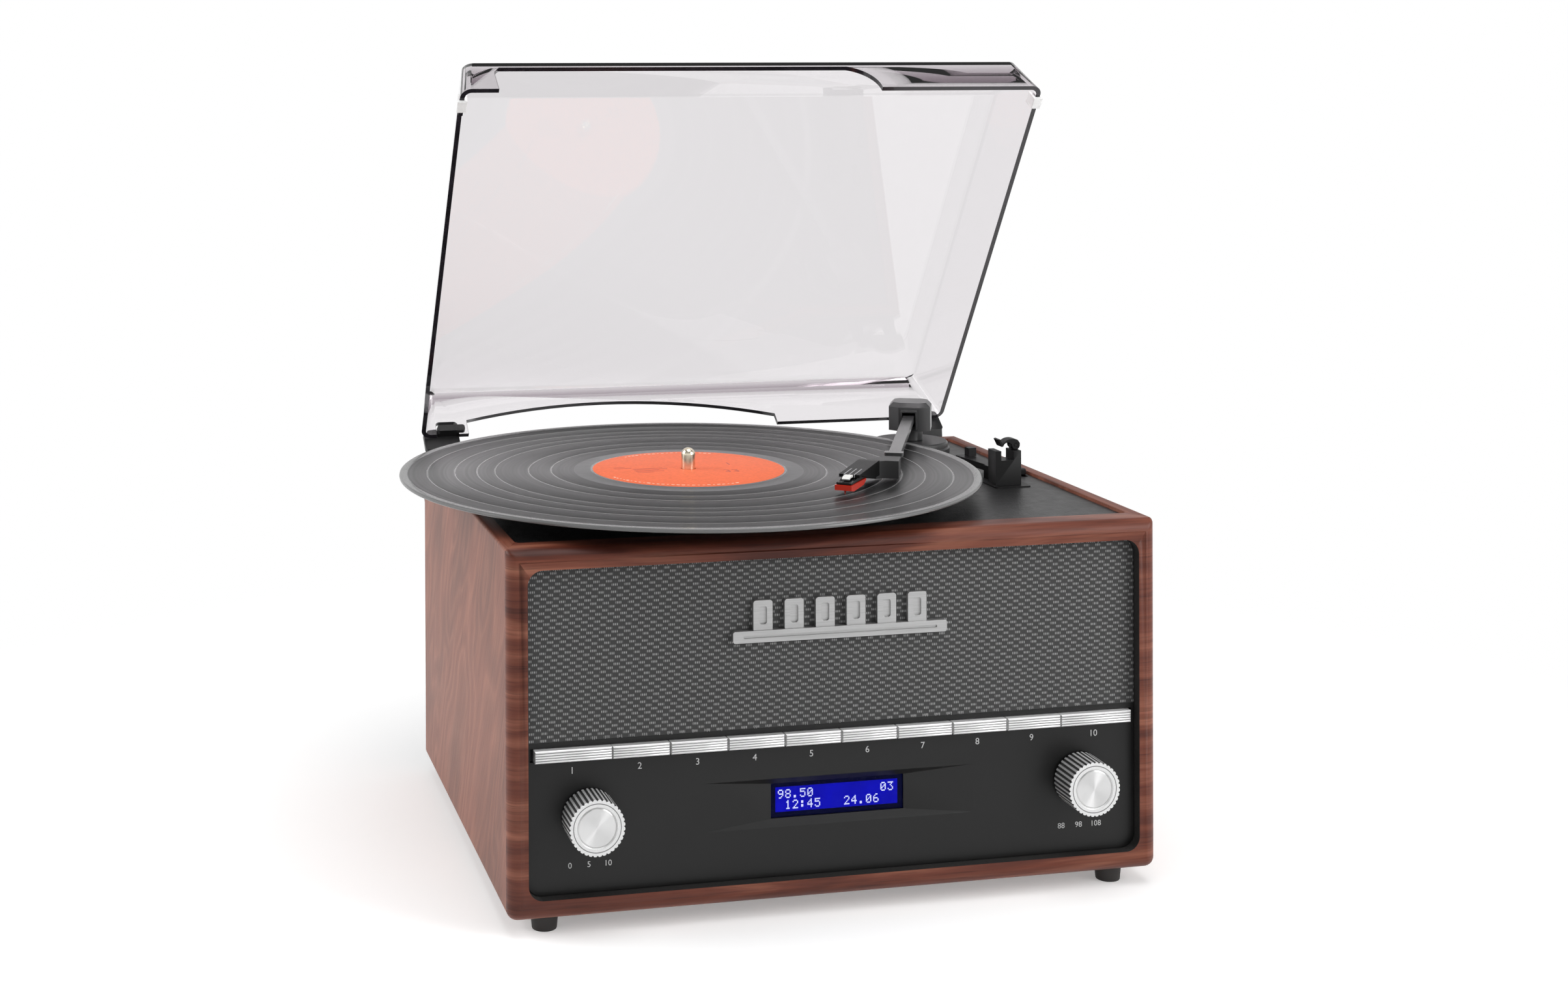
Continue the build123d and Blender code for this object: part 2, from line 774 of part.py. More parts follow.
# ---------------------------------------------------------------- deck and drive
bush_hole_r = bush_r + fit_gap
pulley_hole_r = pulley_r + 2.0
post_boss_r = arm_post_r + 3.0
slot_gap = 0.6
autostop_slot = autostop_travel + slider_stem + 2 * slot_gap
speed_slot = speed_travel + slider_stem + 2 * slot_gap

with BuildPart() as deck_plate:
    with BuildSketch(level(deck_under_z)):
        with Locations((0, deck_mid_y)):
            RectangleRounded(deck_width, deck_depth, deck_corner_r)
    extrude(amount=deck_thick)
    # stiffening rib that drops into the opening in the wood
    with BuildSketch(level(deck_under_z)):
        with Locations((0, deck_mid_y)):
            rib_outer_w = deck_width - 2 * deck_rib_side
            rib_outer_d = deck_depth - 2 * deck_rib_end
            Rectangle(rib_outer_w, rib_outer_d)
            Rectangle(rib_outer_w - 2 * deck_rib, rib_outer_d - 2 * deck_rib, mode=Mode.SUBTRACT)
    extrude(amount=-deck_rib_depth)
    with BuildSketch(level(deck_z)):
        with Locations((record_x, record_y)):
            Circle(bush_hole_r)
        with Locations((motor_x, motor_y)):
            Circle(pulley_hole_r)
        with Locations((pivot_x, pivot_y)):
            Circle(post_boss_r + fit_gap)
        with Locations((speed_x, speed_y - speed_travel / 2)):
            SlotOverall(speed_slot, slider_stem + 2 * slot_gap, rotation=90)
        with Locations((autostop_x, autostop_y - autostop_travel / 2)):
            SlotOverall(autostop_slot, slider_stem + 2 * slot_gap, rotation=90)
    extrude(amount=-deck_thick, mode=Mode.SUBTRACT)
write(deck_plate.part, "deck_plate")

with BuildPart() as bearing_bush:
    with BuildSketch(level(deck_z)):
        with Locations((record_x, record_y)):
            Circle(bush_flange_r)
    extrude(amount=bush_flange)
    with BuildSketch(level(deck_z)):
        with Locations((record_x, record_y)):
            Circle(bush_r)
    extrude(amount=-(deck_thick + bush_depth))
    with BuildSketch(level(deck_z + bush_flange)):
        with Locations((record_x, record_y)):
            Circle(bore_r)
    extrude(amount=-(bush_flange + deck_thick + bush_depth - 1.0), mode=Mode.SUBTRACT)
write(bearing_bush.part, "bearing_bush")

with BuildPart() as motor:
    with BuildSketch(level(deck_under_z)):
        with Locations((motor_x, motor_y)):
            Circle(motor_r)
    extrude(amount=-motor_length)
    with BuildSketch(level(deck_under_z)):
        with Locations((motor_x, motor_y)):
            Circle(pulley_hole_r)
    extrude(amount=-2.0, mode=Mode.SUBTRACT)
    with BuildSketch(level(deck_under_z)):
        with Locations((motor_x, motor_y)):
            Circle(motor_shaft_r + running_gap)
    extrude(amount=-(motor_length - 3.0), mode=Mode.SUBTRACT)
write(motor.part, "motor")

belt_top_z = platter_under_z - belt_inset - 0.1
belt_low_z = platter_low_z + 0.2
with BuildPart() as motor_pulley:
    with BuildSketch(level(belt_low_z - 0.6)):
        with Locations((motor_x, motor_y)):
            Circle(pulley_r)
    extrude(amount=belt_top_z - belt_low_z + 0.6)
    with BuildSketch(level(deck_under_z - motor_length + 4.0)):
        with Locations((motor_x, motor_y)):
            Circle(motor_shaft_r)
    extrude(amount=belt_top_z - deck_under_z + motor_length - 4.0)
write(motor_pulley.part, "motor_pulley")

with BuildPart() as drive_belt:
    with BuildSketch(level(belt_low_z)):
        with Locations((record_x, record_y)):
            Circle(platter_drum_r + belt_gap + belt_thick)
        with Locations((motor_x, motor_y)):
            Circle(pulley_r + belt_gap + belt_thick)
        make_hull()
    extrude(amount=belt_top_z - belt_low_z)
    with BuildSketch(level(belt_low_z)):
        with Locations((record_x, record_y)):
            Circle(platter_drum_r + belt_gap)
        with Locations((motor_x, motor_y)):
            Circle(pulley_r + belt_gap)
        make_hull()
    extrude(amount=belt_top_z - belt_low_z, mode=Mode.SUBTRACT)
write(drive_belt.part, "drive_belt")

turning_axis = Axis((record_x, record_y, 0), (0, 0, 1))


def turning_plane():
    """Upright half-plane through the spindle: radius from the spindle, and height."""
    return Plane(origin=(record_x, record_y, 0), x_dir=(1, 0, 0), z_dir=(0, -1, 0))


with BuildPart() as platter:
    with BuildSketch(turning_plane()):
        with BuildLine():
            hub_low_z = deck_z + bush_flange + fit_gap
            Polyline(
                (spindle_r, platter_top_z), (platter_r - 0.8, platter_top_z),
                (platter_r, platter_top_z - 0.8),
                (platter_r, platter_low_z), (platter_r - platter_rim, platter_low_z),
                (platter_r - platter_rim, platter_under_z), (platter_drum_r, platter_under_z),
                (platter_drum_r, platter_low_z), (platter_drum_r - platter_rim, platter_low_z),
                (platter_drum_r - platter_rim, platter_under_z), (platter_hub_r, platter_under_z),
                (platter_hub_r, hub_low_z), (spindle_r, hub_low_z), (spindle_r, platter_top_z),
            )
        make_face()
    revolve(axis=turning_axis)
write(platter.part, "platter")

with BuildPart() as slipmat:
    with BuildSketch(level(platter_top_z)):
        with Locations((record_x, record_y)):
            Circle(platter_r - 1.5)
            Circle(spindle_r + slide_gap, mode=Mode.SUBTRACT)
    extrude(amount=mat_thick)
write(slipmat.part, "slipmat")

with BuildPart() as record:
    with BuildSketch(turning_plane()):
        with BuildLine():
            groove_z = record_top_z - record_groove_drop
            Polyline(
                (spindle_r + slide_gap, record_low_z), (record_r - record_lead_in, record_low_z),
                (record_r - 0.5, record_low_z), (record_r, record_low_z + 0.5),
                (record_r, record_top_z - 0.5),
                (record_r - 0.5, record_top_z), (record_r - record_lead_in, record_top_z),
                (record_r - record_lead_in - 0.8, groove_z), (label_r + 2.0, groove_z),
                (label_r + 1.2, record_top_z), (spindle_r + slide_gap, record_top_z),
                (spindle_r + slide_gap, record_low_z),
            )
        make_face()
    revolve(axis=turning_axis)
write(record.part, "record")

with BuildPart() as record_label:
    with BuildSketch(level(record_top_z)):
        with Locations((record_x, record_y)):
            Circle(label_r)
            Circle(spindle_r + slide_gap, mode=Mode.SUBTRACT)
    extrude(amount=label_thick)
write(record_label.part, "record_label")

with BuildPart() as spindle:
    with BuildSketch(turning_plane()):
        with BuildLine():
            Polyline((0, spindle_top_z), (0, spindle_low_z), (spindle_r, spindle_low_z))
            Line((spindle_r, spindle_low_z), (spindle_r, spindle_top_z - spindle_r))
            RadiusArc((spindle_r, spindle_top_z - spindle_r), (0, spindle_top_z), -spindle_r)
        make_face()
    revolve(axis=turning_axis)
write(spindle.part, "spindle")

# ---------------------------------------------------------------- tonearm
arm_frame = Plane(
    origin=(pivot_x, pivot_y, 0),
    x_dir=(cos(radians(arm_azimuth)), sin(radians(arm_azimuth)), 0),
    z_dir=(0, 0, 1),
)


def along_arm(z):
    """Level plane at height z, drawn along the arm from its pivot and across to its right."""
    return arm_frame.offset(z)


with BuildPart() as tonearm_base:
    with BuildSketch(level(deck_z)):
        with Locations((pivot_x, pivot_y)):
            Circle(arm_base_r)
    extrude(amount=arm_base_low)
    chamfer(tonearm_base.faces().sort_by(Axis.Z)[-1].edges(), length=0.7)
    with BuildSketch(level(deck_z + arm_base_low)):
        with Locations((pivot_x, pivot_y)):
            Circle(arm_base_top_r)
    extrude(amount=arm_base_height - arm_base_low)
    chamfer(tonearm_base.faces().sort_by(Axis.Z)[-1].edges(), length=0.9)
    with BuildSketch(level(deck_z)):
        with Locations((pivot_x, pivot_y)):
            Circle(post_boss_r)
    extrude(amount=-(deck_thick + arm_post_depth - 4.0))
    with BuildSketch(level(base_top_z)):
        with Locations((pivot_x, pivot_y)):
            Circle(arm_post_r + running_gap)
    extrude(amount=-(arm_base_height + arm_post_depth - 2.0), mode=Mode.SUBTRACT)
write(tonearm_base.part, "tonearm_base")

housing_side = housing_width / 2
slot_width = tube_width + 1.2
slot_low_z = tube_z - tube_height / 2 - 1.6
slot_high_z = tube_z + tube_height / 2 + 1.8
socket_front = housing_front + socket_reach
with BuildPart() as arm_housing:
    with BuildSketch(along_arm(housing_z)):
        with BuildLine():
            Polyline(
                (housing_front, -6.0), (housing_front, 6.0), (housing_front - 4.0, housing_side),
                (-housing_back + 4.0, housing_side), (-housing_back, housing_side - 4.0),
                (-housing_back, -housing_side + 4.0), (-housing_back + 4.0, -housing_side),
                (housing_front - 4.0, -housing_side), (housing_front, -6.0),
            )
        make_face()
    extrude(amount=housing_height)
    # bevelled crown: steep over the tube, slight at the sides
    crown_edges = arm_housing.faces().sort_by(Axis.Z)[-1].edges()
    chamfer(crown_edges, length=housing_crown)
    with BuildSketch(along_arm(housing_z + 1.5)):
        with Locations((socket_front / 2, 0)):
            Rectangle(socket_front, socket_width)
    extrude(amount=slot_high_z + 0.9 - housing_z - 1.5)
    with BuildSketch(along_arm(slot_low_z)):
        with Locations(((socket_front - tube_tail - 1.5) / 2, 0)):
            Rectangle(socket_front + tube_tail + 1.5, slot_width)
    extrude(amount=slot_high_z - slot_low_z, mode=Mode.SUBTRACT)
    # the socket is open below the tube
    with BuildSketch(along_arm(housing_z)):
        with Locations((housing_front + socket_reach / 2, 0)):
            Rectangle(socket_reach, slot_width)
    extrude(amount=tube_z - housing_z, mode=Mode.SUBTRACT)
    # spindle of the arm
    with BuildSketch(along_arm(housing_z)):
        Circle(arm_post_r)
    extrude(amount=-(housing_lift + arm_base_height + arm_post_depth - 3.0))
    with BuildSketch(along_arm(housing_z)):
        Circle(arm_post_r + 3.0)
    extrude(amount=-(housing_lift - fit_gap))
    pin_start = arm_frame.from_local_coords((0, -housing_side + 2, tube_z))
    pin_plane = Plane(origin=pin_start, z_dir=arm_frame.y_dir)
    with BuildSketch(pin_plane):
        Circle(1.2)
    extrude(amount=housing_width - 4, mode=Mode.SUBTRACT)
write(arm_housing.part, "arm_housing")

with BuildPart() as arm_pin:
    with BuildSketch(pin_plane):
        Circle(1.2)
    extrude(amount=housing_width - 4)
write(arm_pin.part, "arm_pin")

tube_low_z = tube_z - tube_height / 2
tube_high_z = tube_z + tube_height / 2
tube_plane = Plane(origin=arm_frame.from_local_coords((-tube_tail, 0, tube_z)), x_dir=arm_frame.y_dir,
                   z_dir=arm_frame.x_dir)
with BuildPart() as arm_tube:
    with BuildSketch(tube_plane):
        half_w = tube_width / 2
        half_h = tube_height / 2
        with BuildLine():
            Polyline(
                (-half_w, half_h), (half_w, half_h), (half_w, -half_h + 1.7), (half_w - 1.7, -half_h),
                (-half_w + 1.7, -half_h), (-half_w, -half_h + 1.7), (-half_w, half_h),
            )
        make_face()
    extrude(amount=tube_end + tube_tail)
    # flat collar at the tube's front end
    with BuildSketch(along_arm(tube_high_z - 1.0)):
        with Locations((tube_end, 0)):
            RectangleRounded(6.0, tube_width + 3.4, 0.8)
    extrude(amount=1.8)
    with BuildSketch(pin_plane):
        Circle(1.2 + running_gap)
    extrude(amount=housing_width - 4, mode=Mode.SUBTRACT)
write(arm_tube.part, "arm_tube")

shell_rear = (165.8, -10.7)      # rear face of the headshell, along and across the arm
shell_turn = shell_azimuth - arm_azimuth
shell_frame = Plane(
    origin=arm_frame.from_local_coords((shell_rear[0], shell_rear[1], 0)),
    x_dir=(cos(radians(shell_azimuth)), sin(radians(shell_azimuth)), 0),
    z_dir=(0, 0, 1),
)
shell_top_z = tube_high_z + 0.7
shell_low_z = shell_top_z - shell_height


def rear_corner(across):
    """A point of the headshell's rear face, in the arm's own plane."""
    turn = radians(shell_turn)
    return (shell_rear[0] - across * sin(turn), shell_rear[1] + across * cos(turn))


coupling_half = coupling_width / 2
coupling_low_z = tube_high_z - coupling_height
with BuildPart() as arm_coupling:
    with BuildSketch(along_arm(coupling_low_z)):
        with BuildLine():
            Polyline(
                (tube_end + 8.0, -coupling_half), (tube_end + 8.0, coupling_half),
                (coupling_end, coupling_half), (coupling_end, -coupling_half + 1.0),
                rear_corner(3.4), rear_corner(-3.4),
                (coupling_end - 8.0, -coupling_half - 4.6), (tube_end + 8.0, -coupling_half),
            )
        make_face()
    extrude(amount=coupling_height)
    with BuildSketch(along_arm(tube_low_z)):
        with Locations((tube_end + 4.0, 0)):
            Rectangle(8.0, tube_width - 1.8)
    extrude(amount=tube_height - 1.0)
write(arm_coupling.part, "arm_coupling")

side_plane = Plane(origin=shell_frame.from_local_coords((0, -shell_width / 2, 0)), x_dir=shell_frame.x_dir,
                   z_dir=shell_frame.y_dir)
flat = 3.4                       # level part of the headshell's top, at its rear
with BuildPart() as headshell:
    with BuildSketch(side_plane):
        with BuildLine():
            top = -shell_top_z
            Polyline(
                (0, -shell_low_z), (0, top), (flat, top), (shell_length, top + shell_fall),
                (shell_length, top + shell_fall + 1.6), (12.0, top + 3.0),
                (8.0, -shell_low_z), (0, -shell_low_z),
            )
        make_face()
    extrude(amount=shell_width)
    # side skirts that run down from the rear to the front
    with BuildSketch(side_plane):
        with BuildLine():
            Polyline(
                (6.0, top + 2.0), (8.0, -shell_low_z), (14.0, -shell_low_z - 1.0),
                (shell_length - 6.0, top + shell_fall + 1.8), (shell_length - 6.0, top + shell_fall),
                (6.0, top + 2.0),
            )
        make_face()
    extrude(amount=1.2)
    with BuildSketch(side_plane.offset(shell_width - 1.2)):
        with BuildLine():
            Polyline(
                (6.0, top + 2.0), (8.0, -shell_low_z), (14.0, -shell_low_z - 1.0),
                (shell_length - 6.0, top + shell_fall + 1.8), (shell_length - 6.0, top + shell_fall),
                (6.0, top + 2.0),
            )
        make_face()
    extrude(amount=1.2)
write(headshell.part, "headshell")

with BuildPart() as finger_lift:
    with BuildSketch(side_plane.offset((shell_width - tab_width) / 2)):
        with BuildLine():
            tab_top = top + shell_fall + 0.1
            tab_end = shell_length + tab_length
            Polyline(
                (shell_length, tab_top), (tab_end - 2.0, tab_top + 0.2), (tab_end, tab_top + 1.2),
                (tab_end - 0.3, tab_top + 1.9), (tab_end - 2.2, tab_top + 1.2),
                (shell_length, tab_top + 1.2), (shell_length, tab_top),
            )
        make_face()
    extrude(amount=tab_width)
write(finger_lift.part, "finger_lift")

groove_top_z = record_top_z - record_groove_drop
tip_z = groove_top_z + stylus_gap
holder_low_z = tip_z + 1.6
cartridge_width = shell_width - 2 * 1.2 - 0.4
holder_width = cartridge_width + 0.8
with BuildPart() as cartridge:
    with BuildSketch(side_plane.offset((shell_width - cartridge_width) / 2)):
        with BuildLine():
            under = holder_low_z + 3.3
            Polyline(
                (13.0, -(shell_top_z - 3.2)), (shell_length - 0.2, -(shell_top_z - shell_fall - 1.7)),
                (shell_length + 1.5, -(shell_top_z - 4.3)), (stylus_along + 2.0, -(shell_top_z - 4.7)),
                (stylus_along + 2.0, -under), (13.0, -(under + 0.4)), (13.0, -(shell_top_z - 3.2)),
            )
        make_face()
    extrude(amount=cartridge_width)
write(cartridge.part, "cartridge")

with BuildPart() as stylus:
    with BuildSketch(side_plane.offset((shell_width - holder_width) / 2)):
        with BuildLine():
            Polyline(
                (holder_rear, -under), (stylus_along + 3.0, -(under - 0.1)),
                (stylus_along + 3.0, -(holder_low_z + 0.7)), (stylus_along - 1.0, -holder_low_z),
                (holder_rear + 4.0, -(holder_low_z + 0.6)), (holder_rear, -(under - 0.9)),
                (holder_rear, -under),
            )
        make_face()
    extrude(amount=holder_width)
    # needle
    tip_plane = shell_frame.offset(tip_z)
    with BuildSketch(tip_plane):
        with Locations((stylus_along, 0)):
            Circle(0.15)
    with BuildSketch(shell_frame.offset(holder_low_z + 0.3)):
        with Locations((stylus_along - 0.3, 0)):
            Circle(0.6)
    loft()
write(stylus.part, "stylus")

# ---------------------------------------------------------------- arm rest and deck levers
rest_left = rest_x - rest_width / 2
rest_right = rest_x + rest_width / 2
outer_post = rest_width - rest_inner_post - rest_saddle_gap
hook_x = rest_right - outer_post / 2
hook_z = post_top_z + 2.6
hook_r = 2.3
tongue = 2.6
hook_width = 6.4
lever_line = Plane(
    origin=(lever_x, lever_front_y, 0),
    x_dir=(-sin(radians(lever_turn)), cos(radians(lever_turn)), 0),
    z_dir=(0, 0, 1),
)
lever_pin_along = 3.0
lever_mid_z = deck_z + lever_top - lever_height / 2
lever_pin_r = 1.0
ear_thick = 1.6
ear_gap = 0.25
base_pad = 0.6

with BuildPart() as arm_rest:
    with BuildSketch(level(deck_z)):
        with Locations((rest_x + 0.6, rest_y + 10.0)):
            RectangleRounded(rest_pad_width, rest_pad_length, 1.5)
    extrude(amount=base_pad)
    with BuildSketch(upright(rest_y + rest_depth / 2)):
        with BuildLine():
            Polyline(
                (rest_left, deck_z), (rest_right, deck_z), (rest_right, post_top_z),
                (rest_right - outer_post, post_top_z), (rest_right - outer_post, saddle_z),
                (rest_left + rest_inner_post, saddle_z), (rest_left + rest_inner_post, post_top_z),
                (rest_left, post_top_z), (rest_left, deck_z),
            )
        make_face()
    extrude(amount=rest_depth)
    with BuildSketch(upright(rest_y + tongue / 2)):
        with Locations((hook_x, hook_z)):
            Circle(hook_r - 0.3)
        with Locations((hook_x, (hook_z + post_top_z) / 2)):
            Rectangle(2 * hook_r - 0.6, hook_z - post_top_z)
    extrude(amount=tongue)
    with BuildSketch(upright(rest_y + hook_width / 2)):
        with Locations((hook_x, hook_z)):
            Circle(hook_pin_r)
    extrude(amount=hook_width)
    # ears and pin that carry the cue lever
    for side in (-1, 1):
        across = side * (lever_width / 2 + ear_gap + ear_thick / 2)
        with BuildSketch(lever_line.offset(deck_z)):
            with Locations((lever_pin_along, across)):
                Rectangle(4.4, ear_thick)
        extrude(amount=lever_mid_z + 1.9 - deck_z)
    lever_pin_across = -(lever_width / 2 + ear_gap + ear_thick)
    lever_pin_start = lever_line.from_local_coords((lever_pin_along, lever_pin_across, lever_mid_z))
    lever_pin_plane = Plane(origin=lever_pin_start, z_dir=lever_line.y_dir)
    with BuildSketch(lever_pin_plane):
        Circle(lever_pin_r)
    extrude(amount=lever_width + 2 * ear_gap + 2 * ear_thick)
write(arm_rest.part, "arm_rest")

with BuildPart() as rest_hook:
    with BuildSketch(upright(rest_y + hook_width / 2)):
        with BuildLine():
            crown_z = hook_z + hook_r + 0.4
            tip_x = rest_left + 2.2
            Polyline((hook_x + hook_r, hook_z), (hook_x + hook_r, crown_z - 1.6), (hook_x + 1.2, crown_z))
            ThreePointArc(
                (hook_x + 1.2, crown_z), (rest_x + 0.8, crown_z + 0.3), (rest_x - 2.4, crown_z - 2.0)
            )
            Polyline(
                (rest_x - 2.4, crown_z - 2.0), (tip_x + 1.2, crown_z + 0.7), (tip_x, crown_z + 0.4),
                (tip_x + 1.9, crown_z - 3.4), (rest_x - 2.0, crown_z - 3.3),
            )
            ThreePointArc(
                (rest_x - 2.0, crown_z - 3.3), (rest_x + 1.0, crown_z - 1.3), (hook_x - hook_r, hook_z)
            )
            Line((hook_x - hook_r, hook_z), (hook_x + hook_r, hook_z))
        make_face()
        with Locations((hook_x, hook_z)):
            Circle(hook_r)
            Circle(hook_pin_r + running_gap, mode=Mode.SUBTRACT)
    extrude(amount=hook_width)
    with BuildSketch(upright(rest_y + tongue / 2 + slide_gap)):
        with Locations((hook_x, hook_z - 0.2)):
            Rectangle(2 * hook_r + 1.2, 2 * hook_r + 0.8)
    extrude(amount=tongue + 2 * slide_gap, mode=Mode.SUBTRACT)
write(rest_hook.part, "rest_hook")

with BuildPart() as cue_lever:
    with BuildSketch(lever_line.offset(deck_z + lever_top)):
        with Locations((lever_length / 2, 0)):
            RectangleRounded(lever_length, lever_width, 1.2)
    extrude(amount=-lever_height)
    with BuildSketch(lever_line.offset(deck_z + lever_top)):
        with Locations((lever_length - 5.0, -lever_width / 2 + lever_knob / 2 - 1.0)):
            Rectangle(lever_knob, lever_knob)
    extrude(amount=lever_knob)
    with BuildSketch(lever_pin_plane):
        Circle(lever_pin_r + running_gap)
    extrude(amount=lever_width + 2 * ear_gap + 2 * ear_thick, mode=Mode.SUBTRACT)
write(cue_lever.part, "cue_lever")


def slider(x, y):
    """Slide knob on the deck with its stem through the slot and a keeper under the deck."""
    with BuildPart() as body:
        with BuildSketch(level(deck_z + slide_gap)):
            with Locations((x, y)):
                RectangleRounded(slider_size, slider_size + 1.0, 0.8)
        extrude(amount=slider_height)
        chamfer(body.faces().sort_by(Axis.Z)[-1].edges(), length=0.5)
        with BuildSketch(level(deck_z + slide_gap)):
            with Locations((x, y)):
                Circle(slider_stem / 2)
        extrude(amount=-(deck_thick + 2 * slide_gap))
        with BuildSketch(level(deck_under_z - slide_gap)):
            with Locations((x, y)):
                Circle(slider_stem / 2 + 0.8)
        extrude(amount=-1.2)
    return body.part


write(slider(speed_x, speed_y), "speed_knob")
write(slider(autostop_x, autostop_y), "autostop_knob")

# ---------------------------------------------------------------- lid and its hinges
side_lean = lid_draft / lid_height
front_lean = lid_front_draft / lid_front_height
fold_y = lid_front_y + lid_front_draft
bend_y = lid_front_y + lid_bevel + lid_front_draft


def lid_block(inset):
    """Solid outline of the shut lid, drawn in by the wall thickness for its inside."""
    low = rim_z - 2 * inset
    with BuildPart() as block:
        with BuildSketch(end_on(0)):
            with BuildLine():
                Polyline(
                    (lid_back_y, low), (lid_back_y, lid_top_z), (bend_y, lid_top_z), (fold_y, fold_z),
                    (lid_front_y - front_lean * (rim_z - low), low), (lid_back_y, low),
                )
            make_face()
            if inset > 0:
                offset(amount=-inset, kind=Kind.INTERSECTION, mode=Mode.REPLACE)
        extrude(amount=cabinet_width, both=True)
        with BuildSketch(upright(0)):
            with BuildLine():
                low_half = lid_half + side_lean * (rim_z - low)
                top_half = lid_half - lid_draft
                Polyline(
                    (-low_half, low), (-top_half, lid_top_z), (top_half, lid_top_z), (low_half, low),
                    (-low_half, low),
                )
            make_face()
            if inset > 0:
                offset(amount=-inset, kind=Kind.INTERSECTION, mode=Mode.REPLACE)
        extrude(amount=cabinet_depth, both=True, mode=Mode.INTERSECT)
        upright_edges = block.edges().filter_by(lambda edge: abs((edge @ 1 - edge @ 0).Z) > 0.7 * edge.length)
        fillet(upright_edges, radius=lid_corner_r - inset)
    return block.part


hinge_notch = hinge_width - 7.6
with BuildPart() as lid_shell:
    add(lid_block(0))
    add(lid_block(lid_wall), mode=Mode.SUBTRACT)
    # front wall cut back between its two lobes
    with BuildSketch(upright(fold_y + lid_wall + 1.5)):
        with BuildLine():
            notch_z = rim_z + notch_depth
            notch_left = -lid_half + lobe_left
            Polyline(
                (notch_right, rim_z - 1), (notch_left, rim_z - 1), (notch_left, notch_z - 4.0),
                (notch_left + 3.0, notch_z), (notch_right - lobe_round, notch_z),
            )
            ThreePointArc(
                (notch_right - lobe_round, notch_z),
                (notch_right - lobe_round * 0.3, notch_z - notch_depth * 0.32),
                (notch_right, rim_z - 1),
            )
        make_face()
    extrude(amount=lid_wall + 6.0, mode=Mode.SUBTRACT)
    # left wall cut back for the record's overhang
    with BuildSketch(end_on(-lid_half - 1.0)):
        with BuildLine():
            cut_front = record_y - side_chord - side_notch_front
            cut_back = record_y + side_chord + side_notch_back
            cut_z = rim_z + side_notch_depth
            Polyline(
                (cut_front, rim_z - 1), (cut_front + 1.5, cut_z - 4.0), (cut_front + 5.0, cut_z),
                (cut_back - 5.0, cut_z), (cut_back - 1.5, cut_z - 4.0), (cut_back, rim_z - 1),
                (cut_front, rim_z - 1),
            )
        make_face()
    extrude(amount=lid_wall + 6.0, mode=Mode.SUBTRACT)
    # arch in the back wall and a notch at each hinge
    with BuildSketch(upright(lid_back_y + 1.0)):
        with BuildLine():
            arch_mid = (arch_left + arch_right) / 2
            Polyline(
                (arch_right, rim_z + arch_side - 4.0), (arch_right, rim_z - 1), (arch_left, rim_z - 1),
                (arch_left, rim_z + arch_side),
            )
            ThreePointArc(
                (arch_left, rim_z + arch_side), (arch_mid, rim_z + arch_peak),
                (arch_right, rim_z + arch_side - 4.0),
            )
        make_face()
        with Locations((0, rim_z + hinge_slot / 2 - 0.5)):
            with GridLocations(2 * (hinge_x - hinge_inset), 0, 2, 1):
                RectangleRounded(hinge_notch, hinge_slot + 1, 2.5)
        with Locations((0, rim_z)):
            with GridLocations(2 * (hinge_x - hinge_inset), 0, 2, 1):
                Rectangle(hinge_notch, 6.0)
    extrude(amount=lid_wall + 3.0, mode=Mode.SUBTRACT)
write(opened(lid_shell.part), "lid_shell")

with BuildPart() as lid_bumpers:
    for side in (-1, 1):
        with BuildSketch(upright(lid_front_y + bumper_from_front + bumper_length)):
            with BuildLine():
                outer = lid_half
                inner = lid_half - lid_wall * sqrt(1 + side_lean**2)
                lean = side_lean * 5.0
                sole_z = rim_z - lid_gap + slide_gap
                Polyline(
                    (side * (outer + bumper_wall), sole_z),
                    (side * (outer + bumper_wall - lean), rim_z + 5.0),
                    (side * (outer - lean), rim_z + 5.0), (side * outer, rim_z), (side * inner, rim_z),
                    (side * (inner - lean), rim_z + 5.0), (side * (inner - bumper_wall - lean), rim_z + 5.0),
                    (side * (inner - bumper_wall), sole_z), (side * (outer + bumper_wall), sole_z),
                )
            make_face()
        extrude(amount=bumper_length)
write(opened(lid_bumpers.part), "lid_bumpers")

leg_low_z = rim_z - hinge_drop
knuckle_width = hinge_base_width - 2 * hinge_ear - 2 * slide_gap
with BuildPart() as lid_arms:
    for side in (-1, 1):
        # outer leg behind the lid's wall, blade inside it and the bridge through the notch
        with BuildSketch(upright(lid_back_y)):
            with Locations((side * hinge_x, (leg_low_z + rim_z + hinge_grip) / 2)):
                RectangleRounded(hinge_width, hinge_drop + hinge_grip, 2.0)
        extrude(amount=-hinge_leg)
        with BuildSketch(upright(lid_back_y - lid_wall)):
            blade_x = side * (hinge_x - hinge_inset - hinge_hold / 2 - 0.5)
            with Locations((blade_x, rim_z + (hinge_grip + 0.8) / 2)):
                RectangleRounded(hinge_notch + hinge_hold, hinge_grip - 0.8, 1.5)
        extrude(amount=2.2)
        with BuildSketch(upright(lid_back_y)):
            with Locations((side * (hinge_x - hinge_inset), rim_z + (hinge_grip + 0.8) / 2)):
                Rectangle(hinge_notch - 1.0, hinge_grip - 0.8)
        extrude(amount=lid_wall)
        # web that runs down and back to the knuckle
        with BuildSketch(end_on(side * hinge_x)):
            with Locations((hinge_y, hinge_z)):
                Circle(hinge_knuckle_r)
            with Locations((lid_back_y + hinge_leg / 2, leg_low_z + 3.0)):
                Rectangle(hinge_leg, 6.0)
            make_hull()
            with Locations((hinge_y, hinge_z)):
                Circle(hinge_pin_r + running_gap, mode=Mode.SUBTRACT)
        extrude(amount=knuckle_width / 2, both=True)
write(opened(lid_arms.part), "lid_arms")

